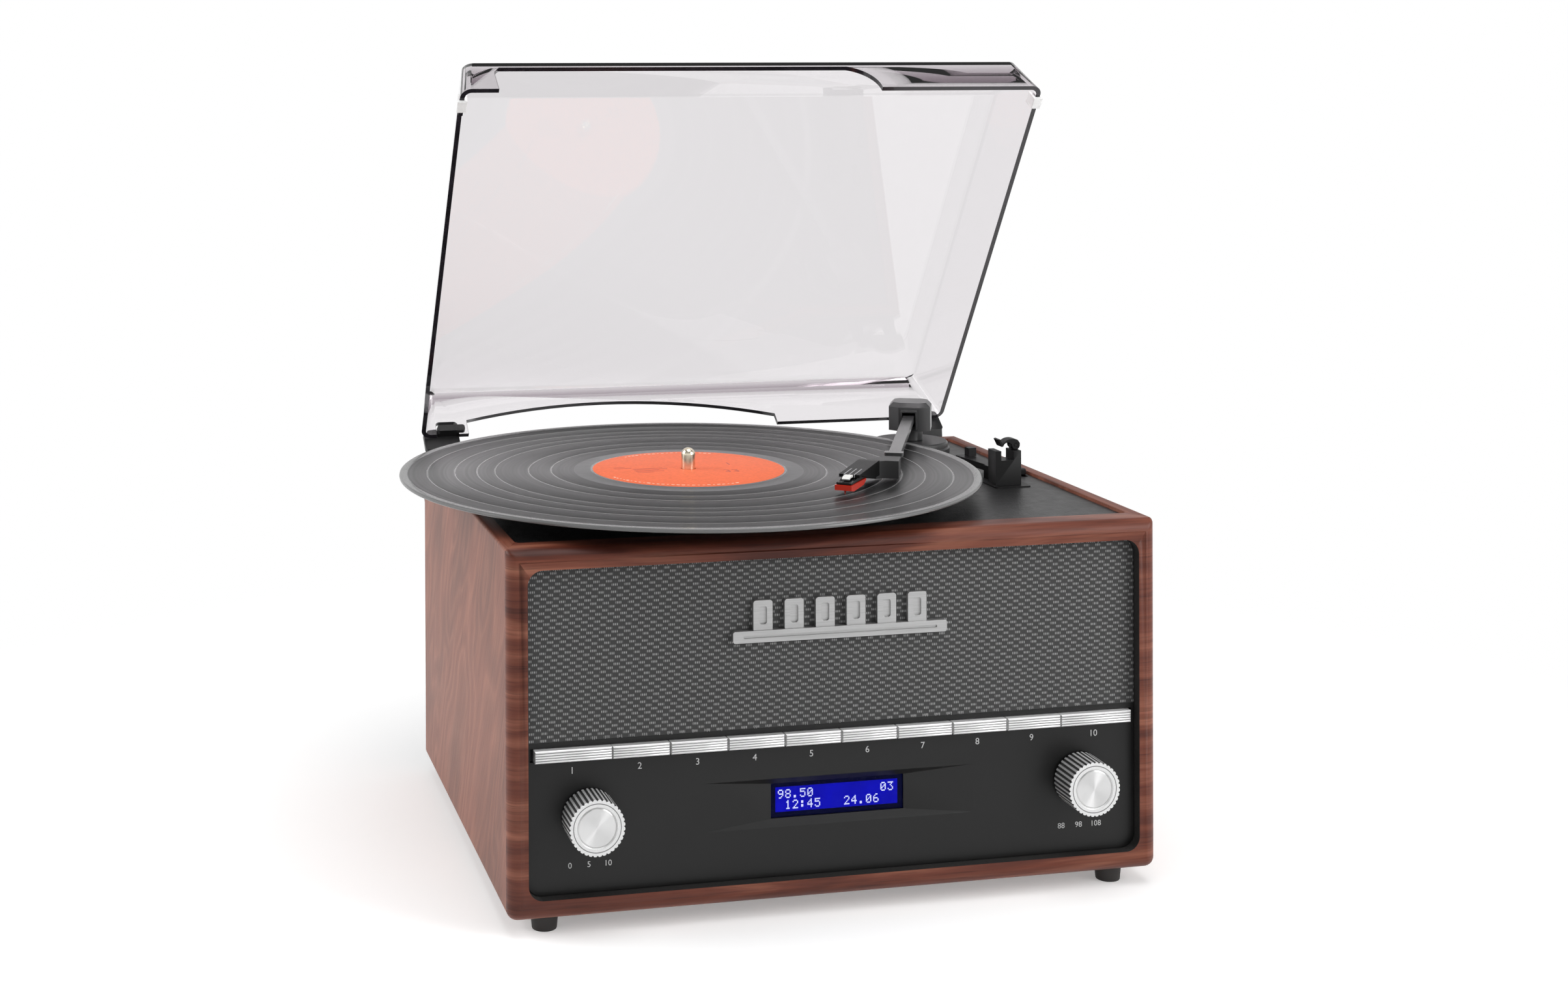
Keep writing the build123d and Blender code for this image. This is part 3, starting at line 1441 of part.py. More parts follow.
with BuildPart() as hinge_bases:
    for side in (-1, 1):
        with BuildSketch(upright(back_y)):
            with Locations((side * hinge_x, hinge_base_z)):
                RectangleRounded(hinge_base_width, hinge_base_height, 1.5)
            for place in hinge_screw_places:
                with Locations(place):
                    Circle(screw_r + slide_gap, mode=Mode.SUBTRACT)
        extrude(amount=-hinge_plate)
        for end in (-1, 1):
            ear_x = side * hinge_x + end * (hinge_base_width - hinge_ear) / 2
            with BuildSketch(end_on(ear_x)):
                with BuildLine():
                    Polyline(
                        (back_y, hinge_base_z - hinge_base_height / 2 + 2.0), (back_y, hinge_base_top_z),
                        (hinge_y, hinge_z + hinge_knuckle_r), (hinge_y, hinge_z - hinge_knuckle_r),
                        (back_y, hinge_base_z - hinge_base_height / 2 + 2.0),
                    )
                make_face()
                with Locations((hinge_y, hinge_z)):
                    Circle(hinge_knuckle_r)
            extrude(amount=hinge_ear / 2, both=True)
        with BuildSketch(end_on(side * hinge_x)):
            with Locations((hinge_y, hinge_z)):
                Circle(hinge_pin_r)
        extrude(amount=hinge_base_width / 2, both=True)
write(hinge_bases.part, "hinge_bases")

# ---------------------------------------------------------------- inside
board_x = -30.0
board_y = 30.0
board_width = 150.0
board_depth = 90.0
standoff = 6.0
board_top_z = inside_floor_z + standoff + circuit_board
with BuildPart() as main_board:
    with BuildSketch(level(inside_floor_z + standoff)):
        with Locations((board_x, board_y)):
            Rectangle(board_width, board_depth)
    extrude(amount=circuit_board)
    with BuildSketch(level(inside_floor_z)):
        with Locations((board_x, board_y)):
            with GridLocations(board_width - 12, board_depth - 12, 2, 2):
                Circle(3.0)
    extrude(amount=standoff)
    # heat sink, two reservoir capacitors and the tuner's screening can
    with BuildSketch(level(board_top_z)):
        with Locations((board_x + 48, board_y + 30)):
            Rectangle(40, 3.0)
            with GridLocations(6.0, 0, 7, 1):
                Rectangle(1.6, 14.0)
    extrude(amount=24.0)
    with BuildSketch(level(board_top_z)):
        with Locations((board_x + 45, board_y - 12)):
            with GridLocations(22.0, 0, 2, 1):
                Circle(8.0)
    extrude(amount=26.0)
    with BuildSketch(level(board_top_z)):
        with Locations((board_x - 40, board_y)):
            Rectangle(42, 34)
    extrude(amount=9.0)
write(main_board.part, "main_board")

transformer_x = side_x - 56.5
transformer_y = 40.0
with BuildPart() as transformer:
    with BuildSketch(level(inside_floor_z)):
        with Locations((transformer_x, transformer_y)):
            Rectangle(transformer_width + 18.0, transformer_depth * 0.5)
    extrude(amount=1.5)
    with BuildSketch(level(inside_floor_z + 1.5)):
        with Locations((transformer_x, transformer_y)):
            Rectangle(transformer_width, transformer_depth * 0.5)
    extrude(amount=transformer_height - 1.5)
    with BuildSketch(level(inside_floor_z + transformer_height * 0.2)):
        with Locations((transformer_x, transformer_y)):
            RectangleRounded(transformer_width * 0.6, transformer_depth, 5.0)
    extrude(amount=transformer_height * 0.6)
write(transformer.part, "transformer")
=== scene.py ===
"""Stereo music centre: a wooden table-top radio with a record player under a clear lid.

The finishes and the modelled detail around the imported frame. Metres; the frame's origin is the
centre of the cabinet's underside, +Z is up and the front faces -Y.
"""

import json
from functools import cache
from math import cos, pi, radians, sin

import bmesh
import bpy
from bpy.props import FloatProperty, FloatVectorProperty, PointerProperty, StringProperty
from mathutils import Matrix, Vector
from mathutils.bvhtree import BVHTree


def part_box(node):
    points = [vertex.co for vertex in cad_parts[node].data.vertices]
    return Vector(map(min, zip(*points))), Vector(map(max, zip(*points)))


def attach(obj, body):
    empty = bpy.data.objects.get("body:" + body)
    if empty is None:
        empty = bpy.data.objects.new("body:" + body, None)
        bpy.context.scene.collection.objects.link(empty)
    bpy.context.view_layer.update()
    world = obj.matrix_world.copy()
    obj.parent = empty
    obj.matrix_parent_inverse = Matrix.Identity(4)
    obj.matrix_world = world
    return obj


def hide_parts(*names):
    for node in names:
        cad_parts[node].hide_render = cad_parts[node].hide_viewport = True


bl_info = {
    "name": "Stereo music centre",
    "version": (1, 0, 0),
    "blender": (4, 5, 0),
    "location": "3D View > Sidebar > Music centre",
    "description": "Dresses the packed music centre with its finishes and fine parts",
    "category": "Object",
}

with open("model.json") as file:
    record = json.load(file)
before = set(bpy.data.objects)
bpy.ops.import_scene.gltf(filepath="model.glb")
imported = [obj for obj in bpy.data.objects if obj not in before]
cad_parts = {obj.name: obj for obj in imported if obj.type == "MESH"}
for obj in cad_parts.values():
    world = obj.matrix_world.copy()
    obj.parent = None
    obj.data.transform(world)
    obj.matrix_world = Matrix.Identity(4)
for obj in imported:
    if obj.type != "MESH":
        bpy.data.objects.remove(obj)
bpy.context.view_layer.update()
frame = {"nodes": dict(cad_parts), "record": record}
MM = 0.001
HOLE_R = 3.9 * MM  # hole in the record and in its label
bodies = frame["record"]["behaviour"]["bodies"]
body_of_node = {node: body for body, nodes in bodies.items() for node in nodes}


@cache
def box(node):
    """Lowest and highest corners of a CAD node at rest, read once."""
    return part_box(node)


def linear(code):
    """Linear RGBA of an sRGB hex colour."""
    values = [int(code[i:i + 2], 16) / 255 for i in (1, 3, 5)]
    return [v / 12.92 if v <= 0.04045 else ((v + 0.055) / 1.055) ** 2.4 for v in values] + [1.0]


# ---------------------------------------------------------------- settings
class CabinetSettings(bpy.types.PropertyGroup):
    """Veneer of the wooden cabinet."""
    wood_dark: FloatVectorProperty(
        name="Dark grain", description="Colour of the veneer's dark grain", subtype="COLOR", size=4,
        default=linear("#471e14"))
    wood_mid: FloatVectorProperty(
        name="Veneer", description="Middle colour of the veneer", subtype="COLOR", size=4,
        default=linear("#703a2a"))
    wood_light: FloatVectorProperty(
        name="Light grain", description="Colour of the veneer's light grain", subtype="COLOR", size=4,
        default=linear("#985f4a"))
    pore_spacing: FloatProperty(
        name="Pore spacing", description="Distance across the grain between pores", unit="LENGTH",
        default=0.9 * MM)


class FrontSettings(bpy.types.PropertyGroup):
    """Cloth, badge, panel and controls."""
    cluster_pitch: FloatProperty(
        name="Cluster pitch", description="From one cluster of strands to the next", unit="LENGTH",
        default=6 * MM)
    thread_width: FloatProperty(
        name="Strand pitch", description="From one strand to the next", unit="LENGTH", default=0.85 * MM)
    thread_height: FloatProperty(
        name="Row height", description="Height of one row of the weave", unit="LENGTH", default=1.67 * MM)
    number_height: FloatProperty(
        name="Number height", description="Height of the printed numbers", unit="LENGTH", default=4.4 * MM)
    display_top: StringProperty(
        name="Upper line", description="Upper line of the display, numbers only", default="98.50         03")
    display_low: StringProperty(
        name="Lower line", description="Lower line of the display, numbers only", default=" 12:45   24.06")


class RecordSettings(bpy.types.PropertyGroup):
    """The twelve-inch record."""
    label_colour: FloatVectorProperty(
        name="Label", description="Colour of the paper label", subtype="COLOR", size=4,
        default=linear("#ef6f42"))
    gap_width: FloatProperty(
        name="Track gap", description="Width of the smooth gap between tracks", unit="LENGTH",
        default=0.8 * MM)


class LidSettings(bpy.types.PropertyGroup):
    """Clear lid."""
    tint: FloatVectorProperty(
        name="Tint", description="Dye of the acrylic", subtype="COLOR", size=4,
        default=(0.56, 0.50, 0.54, 1.0))
    density: FloatProperty(name="Density", description="Strength of the dye for each metre", default=150.0)
    # the rim colour is painted shade on the sheet's cut edges
    rim: FloatVectorProperty(
        name="Rim", description="Colour of the acrylic seen through its edge", subtype="COLOR", size=4,
        default=linear("#19161b"))


class StageSettings(bpy.types.PropertyGroup):
    """Studio round the object."""
    key_power: FloatProperty(
        name="Key", description="Power of the left softbox", unit="POWER", default=30.0)
    fill_power: FloatProperty(
        name="Fill", description="Power of the right softbox", unit="POWER", default=9.5)
    top_power: FloatProperty(
        name="Top", description="Power of the overhead softbox", unit="POWER", default=16.0)
    floor_size: FloatProperty(
        name="Floor", description="Width of the floor", unit="LENGTH", default=12.0)


class MusicCentreSettings(bpy.types.PropertyGroup):
    """All the settings of the music centre."""
    cabinet: PointerProperty(name="Cabinet", description="Veneer of the cabinet", type=CabinetSettings)
    front: PointerProperty(name="Front", description="Cloth, panel and controls", type=FrontSettings)
    record: PointerProperty(name="Record", description="The record", type=RecordSettings)
    lid: PointerProperty(name="Lid", description="The clear lid", type=LidSettings)
    stage: PointerProperty(name="Stage", description="The studio", type=StageSettings)


def settings():
    """The scene's own settings of the music centre."""
    return bpy.context.scene.music_centre


# ---------------------------------------------------------------- nodes and finishes
def add_node(tree, kind, inputs=None, **options):
    """Add a node to a tree; inputs gives its sockets a value or another node's output."""
    node = tree.nodes.new(kind)
    for name, value in options.items():
        setattr(node, name, value)
    for name, value in (inputs or {}).items():
        socket = node.inputs[name]
        if isinstance(value, bpy.types.NodeSocket):
            tree.links.new(value, socket)
        else:
            socket.default_value = value
    return node


def new_finish(name, shader):
    """Material with one Principled shader: the material, its tree, the shader and the place on the object."""
    material = bpy.data.materials.new(name)
    material.use_nodes = True
    tree = material.node_tree
    tree.nodes.clear()
    surface = add_node(tree, "ShaderNodeBsdfPrincipled", shader)
    add_node(tree, "ShaderNodeOutputMaterial", {"Surface": surface.outputs["BSDF"]})
    place = add_node(tree, "ShaderNodeTexCoord").outputs["Object"]
    return material, tree, surface, place


def scaled(tree, place, size, turn=(0, 0, 0)):
    """Coordinates that grow by one over each of these sizes, after a turn."""
    turned_place = add_node(tree, "ShaderNodeMapping", {"Vector": place, "Rotation": turn}).outputs["Vector"]
    scale = tuple(1 / value for value in size)
    return add_node(tree, "ShaderNodeMapping", {"Vector": turned_place, "Scale": scale}).outputs["Vector"]


def ramp(tree, factor, *stops):
    """Colour ramp through stops of (place, colour)."""
    node = add_node(tree, "ShaderNodeValToRGB", {"Fac": factor})
    elements = node.color_ramp.elements
    while len(elements) < len(stops):
        elements.new(0.5)
    for element, (at, colour) in zip(elements, stops):
        element.position = at
        element.color = colour
    return node.outputs["Color"]


def grey(level):
    """Neutral colour of this linear level."""
    return (level, level, level, 1.0)


def toned(colour, by):
    """A colour made darker or lighter by a factor, and never lighter than white."""
    return [min(1.0, value * by) for value in colour[:3]] + [1.0]


def coloured(tree, surface, factor, *stops):
    """Let the colour follow a pattern through stops of (place, colour)."""
    tree.links.new(ramp(tree, factor, *stops), surface.inputs["Base Color"])


def bumped(tree, surface, height, depth, strength):
    """Give the shader a bump of this depth in metres."""
    bump = add_node(tree, "ShaderNodeBump", {"Height": height, "Distance": depth, "Strength": strength})
    tree.links.new(bump.outputs["Normal"], surface.inputs["Normal"])


def roughened(tree, surface, factor, low, high):
    """Let the roughness follow a pattern between two values."""
    spread = add_node(tree, "ShaderNodeMapRange", {"Value": factor, "To Min": low, "To Max": high})
    tree.links.new(spread.outputs["Result"], surface.inputs["Roughness"])


@cache
def veneer(name, across):
    """Mahogany veneer under satin lacquer: fine dark pores drawn out along the grain, and a slow lighter
    figure. The axis across the grain is 0, 1 or 2."""
    wood = settings().cabinet
    pore_length, figure_length, figure_width = 38 * MM, 150 * MM, 14 * MM
    material, tree, surface, place = new_finish(name, {"IOR": 1.5, "Specular IOR Level": 0.3})
    fine = [pore_length] * 3
    fine[across] = wood.pore_spacing
    broad = [figure_length] * 3
    broad[across] = figure_width
    pores = add_node(tree, "ShaderNodeTexNoise", {
        "Vector": scaled(tree, place, fine), "Scale": 1.0, "Detail": 6.0, "Roughness": 0.62})
    slow = add_node(tree, "ShaderNodeTexNoise", {
        "Vector": scaled(tree, place, broad), "Scale": 1.0, "Detail": 4.0, "Distortion": 1.4})
    figured = ramp(tree, slow.outputs["Fac"],
                   (0.30, wood.wood_dark), (0.5, wood.wood_mid), (0.72, wood.wood_light))
    pored = ramp(tree, pores.outputs["Fac"], (0.30, grey(0.42)), (0.46, grey(0.86)), (0.62, grey(1.0)))
    colour = add_node(tree, "ShaderNodeMix", {"Factor": 0.85, 6: figured, 7: pored}, data_type="RGBA",
                      blend_type="MULTIPLY")
    tree.links.new(colour.outputs[2], surface.inputs["Base Color"])
    roughened(tree, surface, pores.outputs["Fac"], 0.5, 0.36)
    bumped(tree, surface, pores.outputs["Fac"], 0.12 * MM, 0.5)
    return material


@cache
def slanted_veneer():
    """Crown-cut mahogany veneer of the side walls: nested cathedral arches on a slant, pores along them."""
    wood = settings().cabinet
    slant = (radians(-32), 0, 0)
    arch_size = (120 * MM, 55 * MM, 190 * MM)
    cloud_size = (60 * MM, 38 * MM, 90 * MM)
    pore_size = (9 * MM, wood.pore_spacing, 24 * MM)
    ring_turn = 46.0  # radians of growth rings over the noise's whole range
    material, tree, surface, place = new_finish("crown_cut_mahogany", {"IOR": 1.5, "Specular IOR Level": 0.3})
    figure = add_node(tree, "ShaderNodeTexNoise", {
        "Vector": scaled(tree, place, arch_size, slant), "Scale": 1.0, "Detail": 1.5, "Distortion": 0.6})
    rings = add_node(tree, "ShaderNodeMath", {0: figure.outputs["Fac"], 1: ring_turn}, operation="MULTIPLY")
    arch = add_node(tree, "ShaderNodeMath", {0: rings.outputs[0]}, operation="SINE")
    swing = add_node(tree, "ShaderNodeMath", {0: arch.outputs[0], 1: 0.5, 2: 0.5}, operation="MULTIPLY_ADD")
    slow = add_node(tree, "ShaderNodeTexNoise", {
        "Vector": scaled(tree, place, cloud_size, slant), "Scale": 1.0, "Detail": 3.0})
    pores = add_node(tree, "ShaderNodeTexNoise", {
        "Vector": scaled(tree, place, pore_size, slant), "Scale": 1.0, "Detail": 5.0, "Roughness": 0.6})
    between = [(one + two) / 2 for one, two in zip(wood.wood_mid, wood.wood_light)]
    arches = ramp(tree, swing.outputs[0], (0.0, between), (0.6, wood.wood_light), (1.0, between))
    clouds = ramp(tree, slow.outputs["Fac"], (0.34, grey(0.62)), (0.58, grey(1.0)))
    pored = ramp(tree, pores.outputs["Fac"], (0.32, grey(0.66)), (0.5, grey(1.0)))
    clouded = add_node(tree, "ShaderNodeMix", {"Factor": 0.8, 6: arches, 7: clouds}, data_type="RGBA",
                       blend_type="MULTIPLY")
    colour = add_node(tree, "ShaderNodeMix", {"Factor": 0.8, 6: clouded.outputs[2], 7: pored},
                      data_type="RGBA", blend_type="MULTIPLY")
    tree.links.new(colour.outputs[2], surface.inputs["Base Color"])
    roughened(tree, surface, pores.outputs["Fac"], 0.5, 0.38)
    bumped(tree, surface, pores.outputs["Fac"], 0.1 * MM, 0.5)
    return material


@cache
def fibreboard():
    """Black-painted fibreboard: dead matt with a slight roller texture."""
    material, tree, surface, place = new_finish("painted_fibreboard", {"Roughness": 0.75})
    fibre = 1.2 * MM
    fibres = add_node(tree, "ShaderNodeTexNoise", {
        "Vector": scaled(tree, place, (fibre,) * 3), "Scale": 1.0, "Detail": 4.0})
    coloured(tree, surface, fibres.outputs["Fac"], (0.3, linear("#141313")), (0.7, linear("#242221")))
    bumped(tree, surface, fibres.outputs["Fac"], 0.1 * MM, 0.6)
    return material


@cache
def moulded(name, colour, roughness, grain=0.5, depth=0.03, level=0.5):
    """Moulded plastic, rubber or felt: one colour with a fine texture that breaks up its sheen. The grain
    and its depth are in millimetres, and the level is that of the mirror-like reflection."""
    worn_patch = 14 * MM
    material, tree, surface, place = new_finish(name, {"IOR": 1.53, "Specular IOR Level": level})
    texture = add_node(tree, "ShaderNodeTexNoise", {
        "Vector": scaled(tree, place, (grain * MM,) * 3), "Scale": 1.0, "Detail": 3.0})
    worn = add_node(tree, "ShaderNodeTexNoise", {
        "Vector": scaled(tree, place, (worn_patch,) * 3), "Scale": 1.0, "Detail": 2.0})
    shade = linear(colour)
    coloured(tree, surface, worn.outputs["Fac"], (0.35, shade), (0.7, toned(shade, 1.18)))
    roughened(tree, surface, worn.outputs["Fac"], roughness - 0.05, roughness + 0.06)
    bumped(tree, surface, texture.outputs["Fac"], depth * MM, 0.5)
    return material


@cache
def lined_shell():
    """Glossy black ABS of the headshell; three raised lines along the front of its top are painted pale as
    highlights.
    """
    rear = Vector((40.3 * MM, -51.9 * MM, 0))
    shell_turn = radians(128)
    line_pitch, lines_start, lines_half = 2.6 * MM, 21 * MM, 4.2 * MM
    line_share = 0.11  # half of a line's width against the pitch
    material, tree, surface, place = new_finish("black_abs_painted_line_highlights", {
        "IOR": 1.53, "Specular IOR Level": 0.12, "Roughness": 0.35})
    turned_place = add_node(tree, "ShaderNodeVectorRotate", {
        "Vector": place, "Center": rear, "Angle": shell_turn}, rotation_type="Z_AXIS")
    from_rear = add_node(tree, "ShaderNodeVectorMath", {0: turned_place.outputs["Vector"], 1: rear},
                         operation="SUBTRACT")
    parts = add_node(tree, "ShaderNodeSeparateXYZ", {"Vector": from_rear.outputs["Vector"]})
    wide = add_node(tree, "ShaderNodeMath", {0: parts.outputs["Y"], 1: 1 / line_pitch, 2: 0.5},
                    operation="MULTIPLY_ADD")
    nearest = add_node(tree, "ShaderNodeMath", {0: wide.outputs[0], 1: 1.0}, operation="PINGPONG")
    offset = add_node(tree, "ShaderNodeMath", {0: nearest.outputs[0], 1: 0.5, 2: line_share},
                      operation="COMPARE")
    ahead = add_node(tree, "ShaderNodeMath", {0: parts.outputs["X"], 1: lines_start},
                     operation="GREATER_THAN")
    inner = add_node(tree, "ShaderNodeMath", {0: parts.outputs["Y"]}, operation="ABSOLUTE")
    middle = add_node(tree, "ShaderNodeMath", {0: inner.outputs[0], 1: lines_half}, operation="LESS_THAN")
    both = add_node(tree, "ShaderNodeMath", {0: ahead.outputs[0], 1: middle.outputs[0]}, operation="MULTIPLY")
    line = add_node(tree, "ShaderNodeMath", {0: both.outputs[0], 1: offset.outputs[0]}, operation="MULTIPLY")
    # the lines' pale grey is a painted highlight on the raised lines, not a pale plastic
    coloured(tree, surface, line.outputs[0], (0.0, linear("#09090a")), (1.0, linear("#9a9a9c")))
    bumped(tree, surface, line.outputs[0], 0.2 * MM, 0.4)
    return material


@cache
def leather_grain():
    """Black ABS deck moulded with a leather grain: small rounded cells with creases between them, painted
    darker in the creases as painted shade.
    """
    cell, patch = 0.9 * MM, 5 * MM
    material, tree, surface, place = new_finish("leather_grained_abs", {"IOR": 1.53})
    cells = add_node(tree, "ShaderNodeTexVoronoi", {
        "Vector": scaled(tree, place, (cell,) * 3), "Scale": 1.0, "Smoothness": 0.6}, feature="SMOOTH_F1")
    broad = add_node(tree, "ShaderNodeTexNoise", {
        "Vector": scaled(tree, place, (patch,) * 3), "Scale": 1.0, "Detail": 3.0})
    # each cell is lighter in its middle and darker towards the creases: painted shade
    coloured(tree, surface, cells.outputs["Distance"], (0.1, linear("#1a1a1b")), (0.8, linear("#0d0d0e")))
    roughened(tree, surface, broad.outputs["Fac"], 0.34, 0.5)
    bumped(tree, surface, cells.outputs["Distance"], -0.16 * MM, 0.6)
    return material


@cache
def brushed_silver(name, colour, along, roughness, metallic):
    """Silver-metallised ABS brushed along one axis. Its streaks are drawn 0.35 mm apart, coarser than the
    real ones, so that they show."""
    streak_pitch, streak_length = 0.35 * MM, 26 * MM
    material, tree, surface, place = new_finish(name, {"Metallic": metallic})
    size = [streak_pitch] * 3
    size[along] = streak_length
    streaks = add_node(tree, "ShaderNodeTexNoise", {
        "Vector": scaled(tree, place, size), "Scale": 1.0, "Detail": 4.0})
    shade = linear(colour)
    coloured(tree, surface, streaks.outputs["Fac"], (0.3, toned(shade, 0.86)), (0.62, shade))
    roughened(tree, surface, streaks.outputs["Fac"], roughness + 0.08, roughness - 0.05)
    bumped(tree, surface, streaks.outputs["Fac"], 0.01 * MM, 0.3)
    return material


@cache
def spun_silver():
    """Face of a knob turned on a lathe: rings a fraction of a millimetre apart, so highlights fan out from
    the middle. The rings are drawn 0.5 mm apart, coarser than the real ones, so that they show."""
    ring_pitch, ring_length = 0.5 * MM, 3 * MM
    material, tree, surface, place = new_finish("spun_aluminium", {
        "Base Color": linear("#cfcfcf"), "Metallic": 1.0, "Anisotropic": 0.9, "Anisotropic Rotation": 0.25})
    tangent = add_node(tree, "ShaderNodeTangent", direction_type="RADIAL", axis="Y")
    tree.links.new(tangent.outputs["Tangent"], surface.inputs["Tangent"])
    grain = add_node(tree, "ShaderNodeTexNoise", {
        "Vector": scaled(tree, place, (ring_pitch, ring_length, ring_pitch)), "Scale": 1.0})
    roughened(tree, surface, grain.outputs["Fac"], 0.28, 0.4)
    return material


@cache
def steel(name="zinc_plated_steel", colour="#b9bcc0", roughness=0.32):
    """Bare metal, zinc-plated steel unless another is named: bright, with a faint cloudy bloom."""
    material, tree, surface, place = new_finish(name, {"Metallic": 1.0})
    bloom_patch = 3 * MM
    bloom = add_node(tree, "ShaderNodeTexNoise", {
        "Vector": scaled(tree, place, (bloom_patch,) * 3), "Scale": 1.0, "Detail": 4.0})
    shade = linear(colour)
    coloured(tree, surface, bloom.outputs["Fac"], (0.35, toned(shade, 0.8)), (0.65, shade))
    roughened(tree, surface, bloom.outputs["Fac"], roughness - 0.06, roughness + 0.08)
    return material


@cache
def pressed_vinyl():
    """Grooved side of a record: near-black vinyl whose grooves stretch each highlight across them, so the
    light lies in wedges. Loud and quiet passages make rings, drawn coarser than the real ones."""
    ring_pitch = 1.6 * MM
    material, tree, surface, place = new_finish("pressed_vinyl", {
        "Base Color": linear("#0c0c0d"), "IOR": 1.5, "Anisotropic": 0.8, "Anisotropic Rotation": 0.25,
        "Specular IOR Level": 0.27})
    tangent = add_node(tree, "ShaderNodeTangent", direction_type="RADIAL", axis="Z")
    tree.links.new(tangent.outputs["Tangent"], surface.inputs["Tangent"])
    low, high = box("record")
    middle = (low + high) / 2
    centred = add_node(tree, "ShaderNodeVectorMath", {0: place, 1: middle}, operation="SUBTRACT")
    radius = add_node(tree, "ShaderNodeVectorMath", {0: centred.outputs["Vector"]}, operation="LENGTH")
    loud = add_node(tree, "ShaderNodeTexNoise", {
        "W": radius.outputs["Value"], "Scale": 1 / ring_pitch, "Detail": 3.0}, noise_dimensions="1D")
    roughened(tree, surface, loud.outputs["Fac"], 0.27, 0.37)
    return material


@cache
def smooth_vinyl(name, colour, roughness):
    """Blank vinyl between tracks and round the label: smoother, and painted grey as a painted sheen, so it
    shows as a pale ring.
    """
    material, tree, surface, place = new_finish(name, {"Base Color": linear(colour), "IOR": 1.5})
    haze_patch = 6 * MM
    haze = add_node(tree, "ShaderNodeTexNoise", {
        "Vector": scaled(tree, place, (haze_patch,) * 3), "Scale": 1.0, "Detail": 3.0})
    roughened(tree, surface, haze.outputs["Fac"], roughness, roughness + 0.08)
    return material


@cache
def label_paper():
    """Uncoated printed paper pressed into the record: an even orange with faint fibres."""
    colour = settings().record.label_colour
    material, tree, surface, place = new_finish("printed_paper", {
        "Roughness": 0.55, "Specular IOR Level": 0.3})
    fibre = 1.5 * MM
    fibres = add_node(tree, "ShaderNodeTexNoise", {
        "Vector": scaled(tree, place, (fibre,) * 3), "Scale": 1.0, "Detail": 5.0})
    coloured(tree, surface, fibres.outputs["Fac"], (0.3, toned(colour, 0.86)), (0.65, tuple(colour)))
    bumped(tree, surface, fibres.outputs["Fac"], 0.03 * MM, 0.5)
    return material


@cache
def ink(name, colour):
    """Screen-printing ink: a thin flat film, slightly uneven."""
    material, tree, surface, place = new_finish(name, {"Roughness": 0.5})
    film_patch = 0.8 * MM
    film = add_node(tree, "ShaderNodeTexNoise", {
        "Vector": scaled(tree, place, (film_patch,) * 3), "Scale": 1.0, "Detail": 2.0})
    shade = linear(colour)
    coloured(tree, surface, film.outputs["Fac"], (0.35, toned(shade, 0.9)), (0.6, shade))
    return material


@cache
def speaker_cloth():
    """Acoustic cloth: mid-grey ground with staggered clusters of light upright strands and dark gaps, so the
    clusters line up in slanting rows; each row is painted darker towards its edges, painted shade between the
    rows. The strands are drawn coarser than the real ones, so that they show."""
    front = settings().front
    row_shift = 0.46  # of a cluster's pitch, from one row to the next
    cluster_edge = 0.35
    material, tree, surface, place = new_finish("woven_polyester", {
        "Roughness": 0.7, "Specular IOR Level": 0.3, "Sheen Weight": 0.15, "Sheen Roughness": 0.4})
    parts = add_node(tree, "ShaderNodeSeparateXYZ", {"Vector": place})
    across, height = parts.outputs["X"], parts.outputs["Z"]
    rows = add_node(tree, "ShaderNodeMath", {0: height, 1: front.thread_height},
                    operation="DIVIDE").outputs[0]
    row = add_node(tree, "ShaderNodeMath", {0: rows}, operation="FLOOR").outputs[0]
    shift = add_node(tree, "ShaderNodeMath", {0: row, 1: row_shift}, operation="MULTIPLY").outputs[0]
    along = add_node(tree, "ShaderNodeMath", {0: across, 1: 1 / front.cluster_pitch, 2: shift},
                     operation="MULTIPLY_ADD").outputs[0]
    wave = add_node(tree, "ShaderNodeMath", {0: along, 1: 2 * pi}, operation="MULTIPLY").outputs[0]
    swell = add_node(tree, "ShaderNodeMath", {0: wave}, operation="SINE").outputs[0]
    cluster = add_node(tree, "ShaderNodeMapRange", {
        "Value": swell, "From Min": -cluster_edge, "From Max": cluster_edge, "To Min": 0.0, "To Max": 1.0},
        interpolation_type="SMOOTHSTEP").outputs["Result"]
    turn = add_node(tree, "ShaderNodeMath", {0: across, 1: 2 * pi / front.thread_width},
                    operation="MULTIPLY").outputs[0]
    strand = add_node(tree, "ShaderNodeMath", {0: turn}, operation="SINE").outputs[0]
    within = add_node(tree, "ShaderNodeMath", {0: rows}, operation="FRACT").outputs[0]
    arc = add_node(tree, "ShaderNodeMath", {0: within, 1: pi}, operation="MULTIPLY").outputs[0]
    bulge = add_node(tree, "ShaderNodeMath", {0: arc}, operation="SINE").outputs[0]
    bright = add_node(tree, "ShaderNodeMath", {0: strand, 1: 0.3, 2: 0.32},
                      operation="MULTIPLY_ADD").outputs[0]
    swelled = add_node(tree, "ShaderNodeMath", {0: cluster, 1: bulge}, operation="MULTIPLY").outputs[0]
    # the colour follows this relief, so each row darkens towards its edges: painted shade on top of the
    # yarns' own light and dark
    relief_and_shade = add_node(tree, "ShaderNodeMath", {0: swelled, 1: bright}, operation="MULTIPLY").outputs[0]
    yarn_patch = 0.7 * MM
    uneven = add_node(tree, "ShaderNodeTexNoise", {
        "Vector": scaled(tree, place, (yarn_patch,) * 3), "Scale": 1.0, "Detail": 2.0})
    shade = add_node(tree, "ShaderNodeMath", {0: uneven.outputs["Fac"], 1: 0.12, 2: relief_and_shade},
                     operation="MULTIPLY_ADD").outputs[0]
    coloured(tree, surface, shade,
             (0.08, linear("#3b3b3b")), (0.3, linear("#626262")), (0.62, linear("#ababab")))
    bumped(tree, surface, shade, 0.3 * MM, 0.6)
    return material


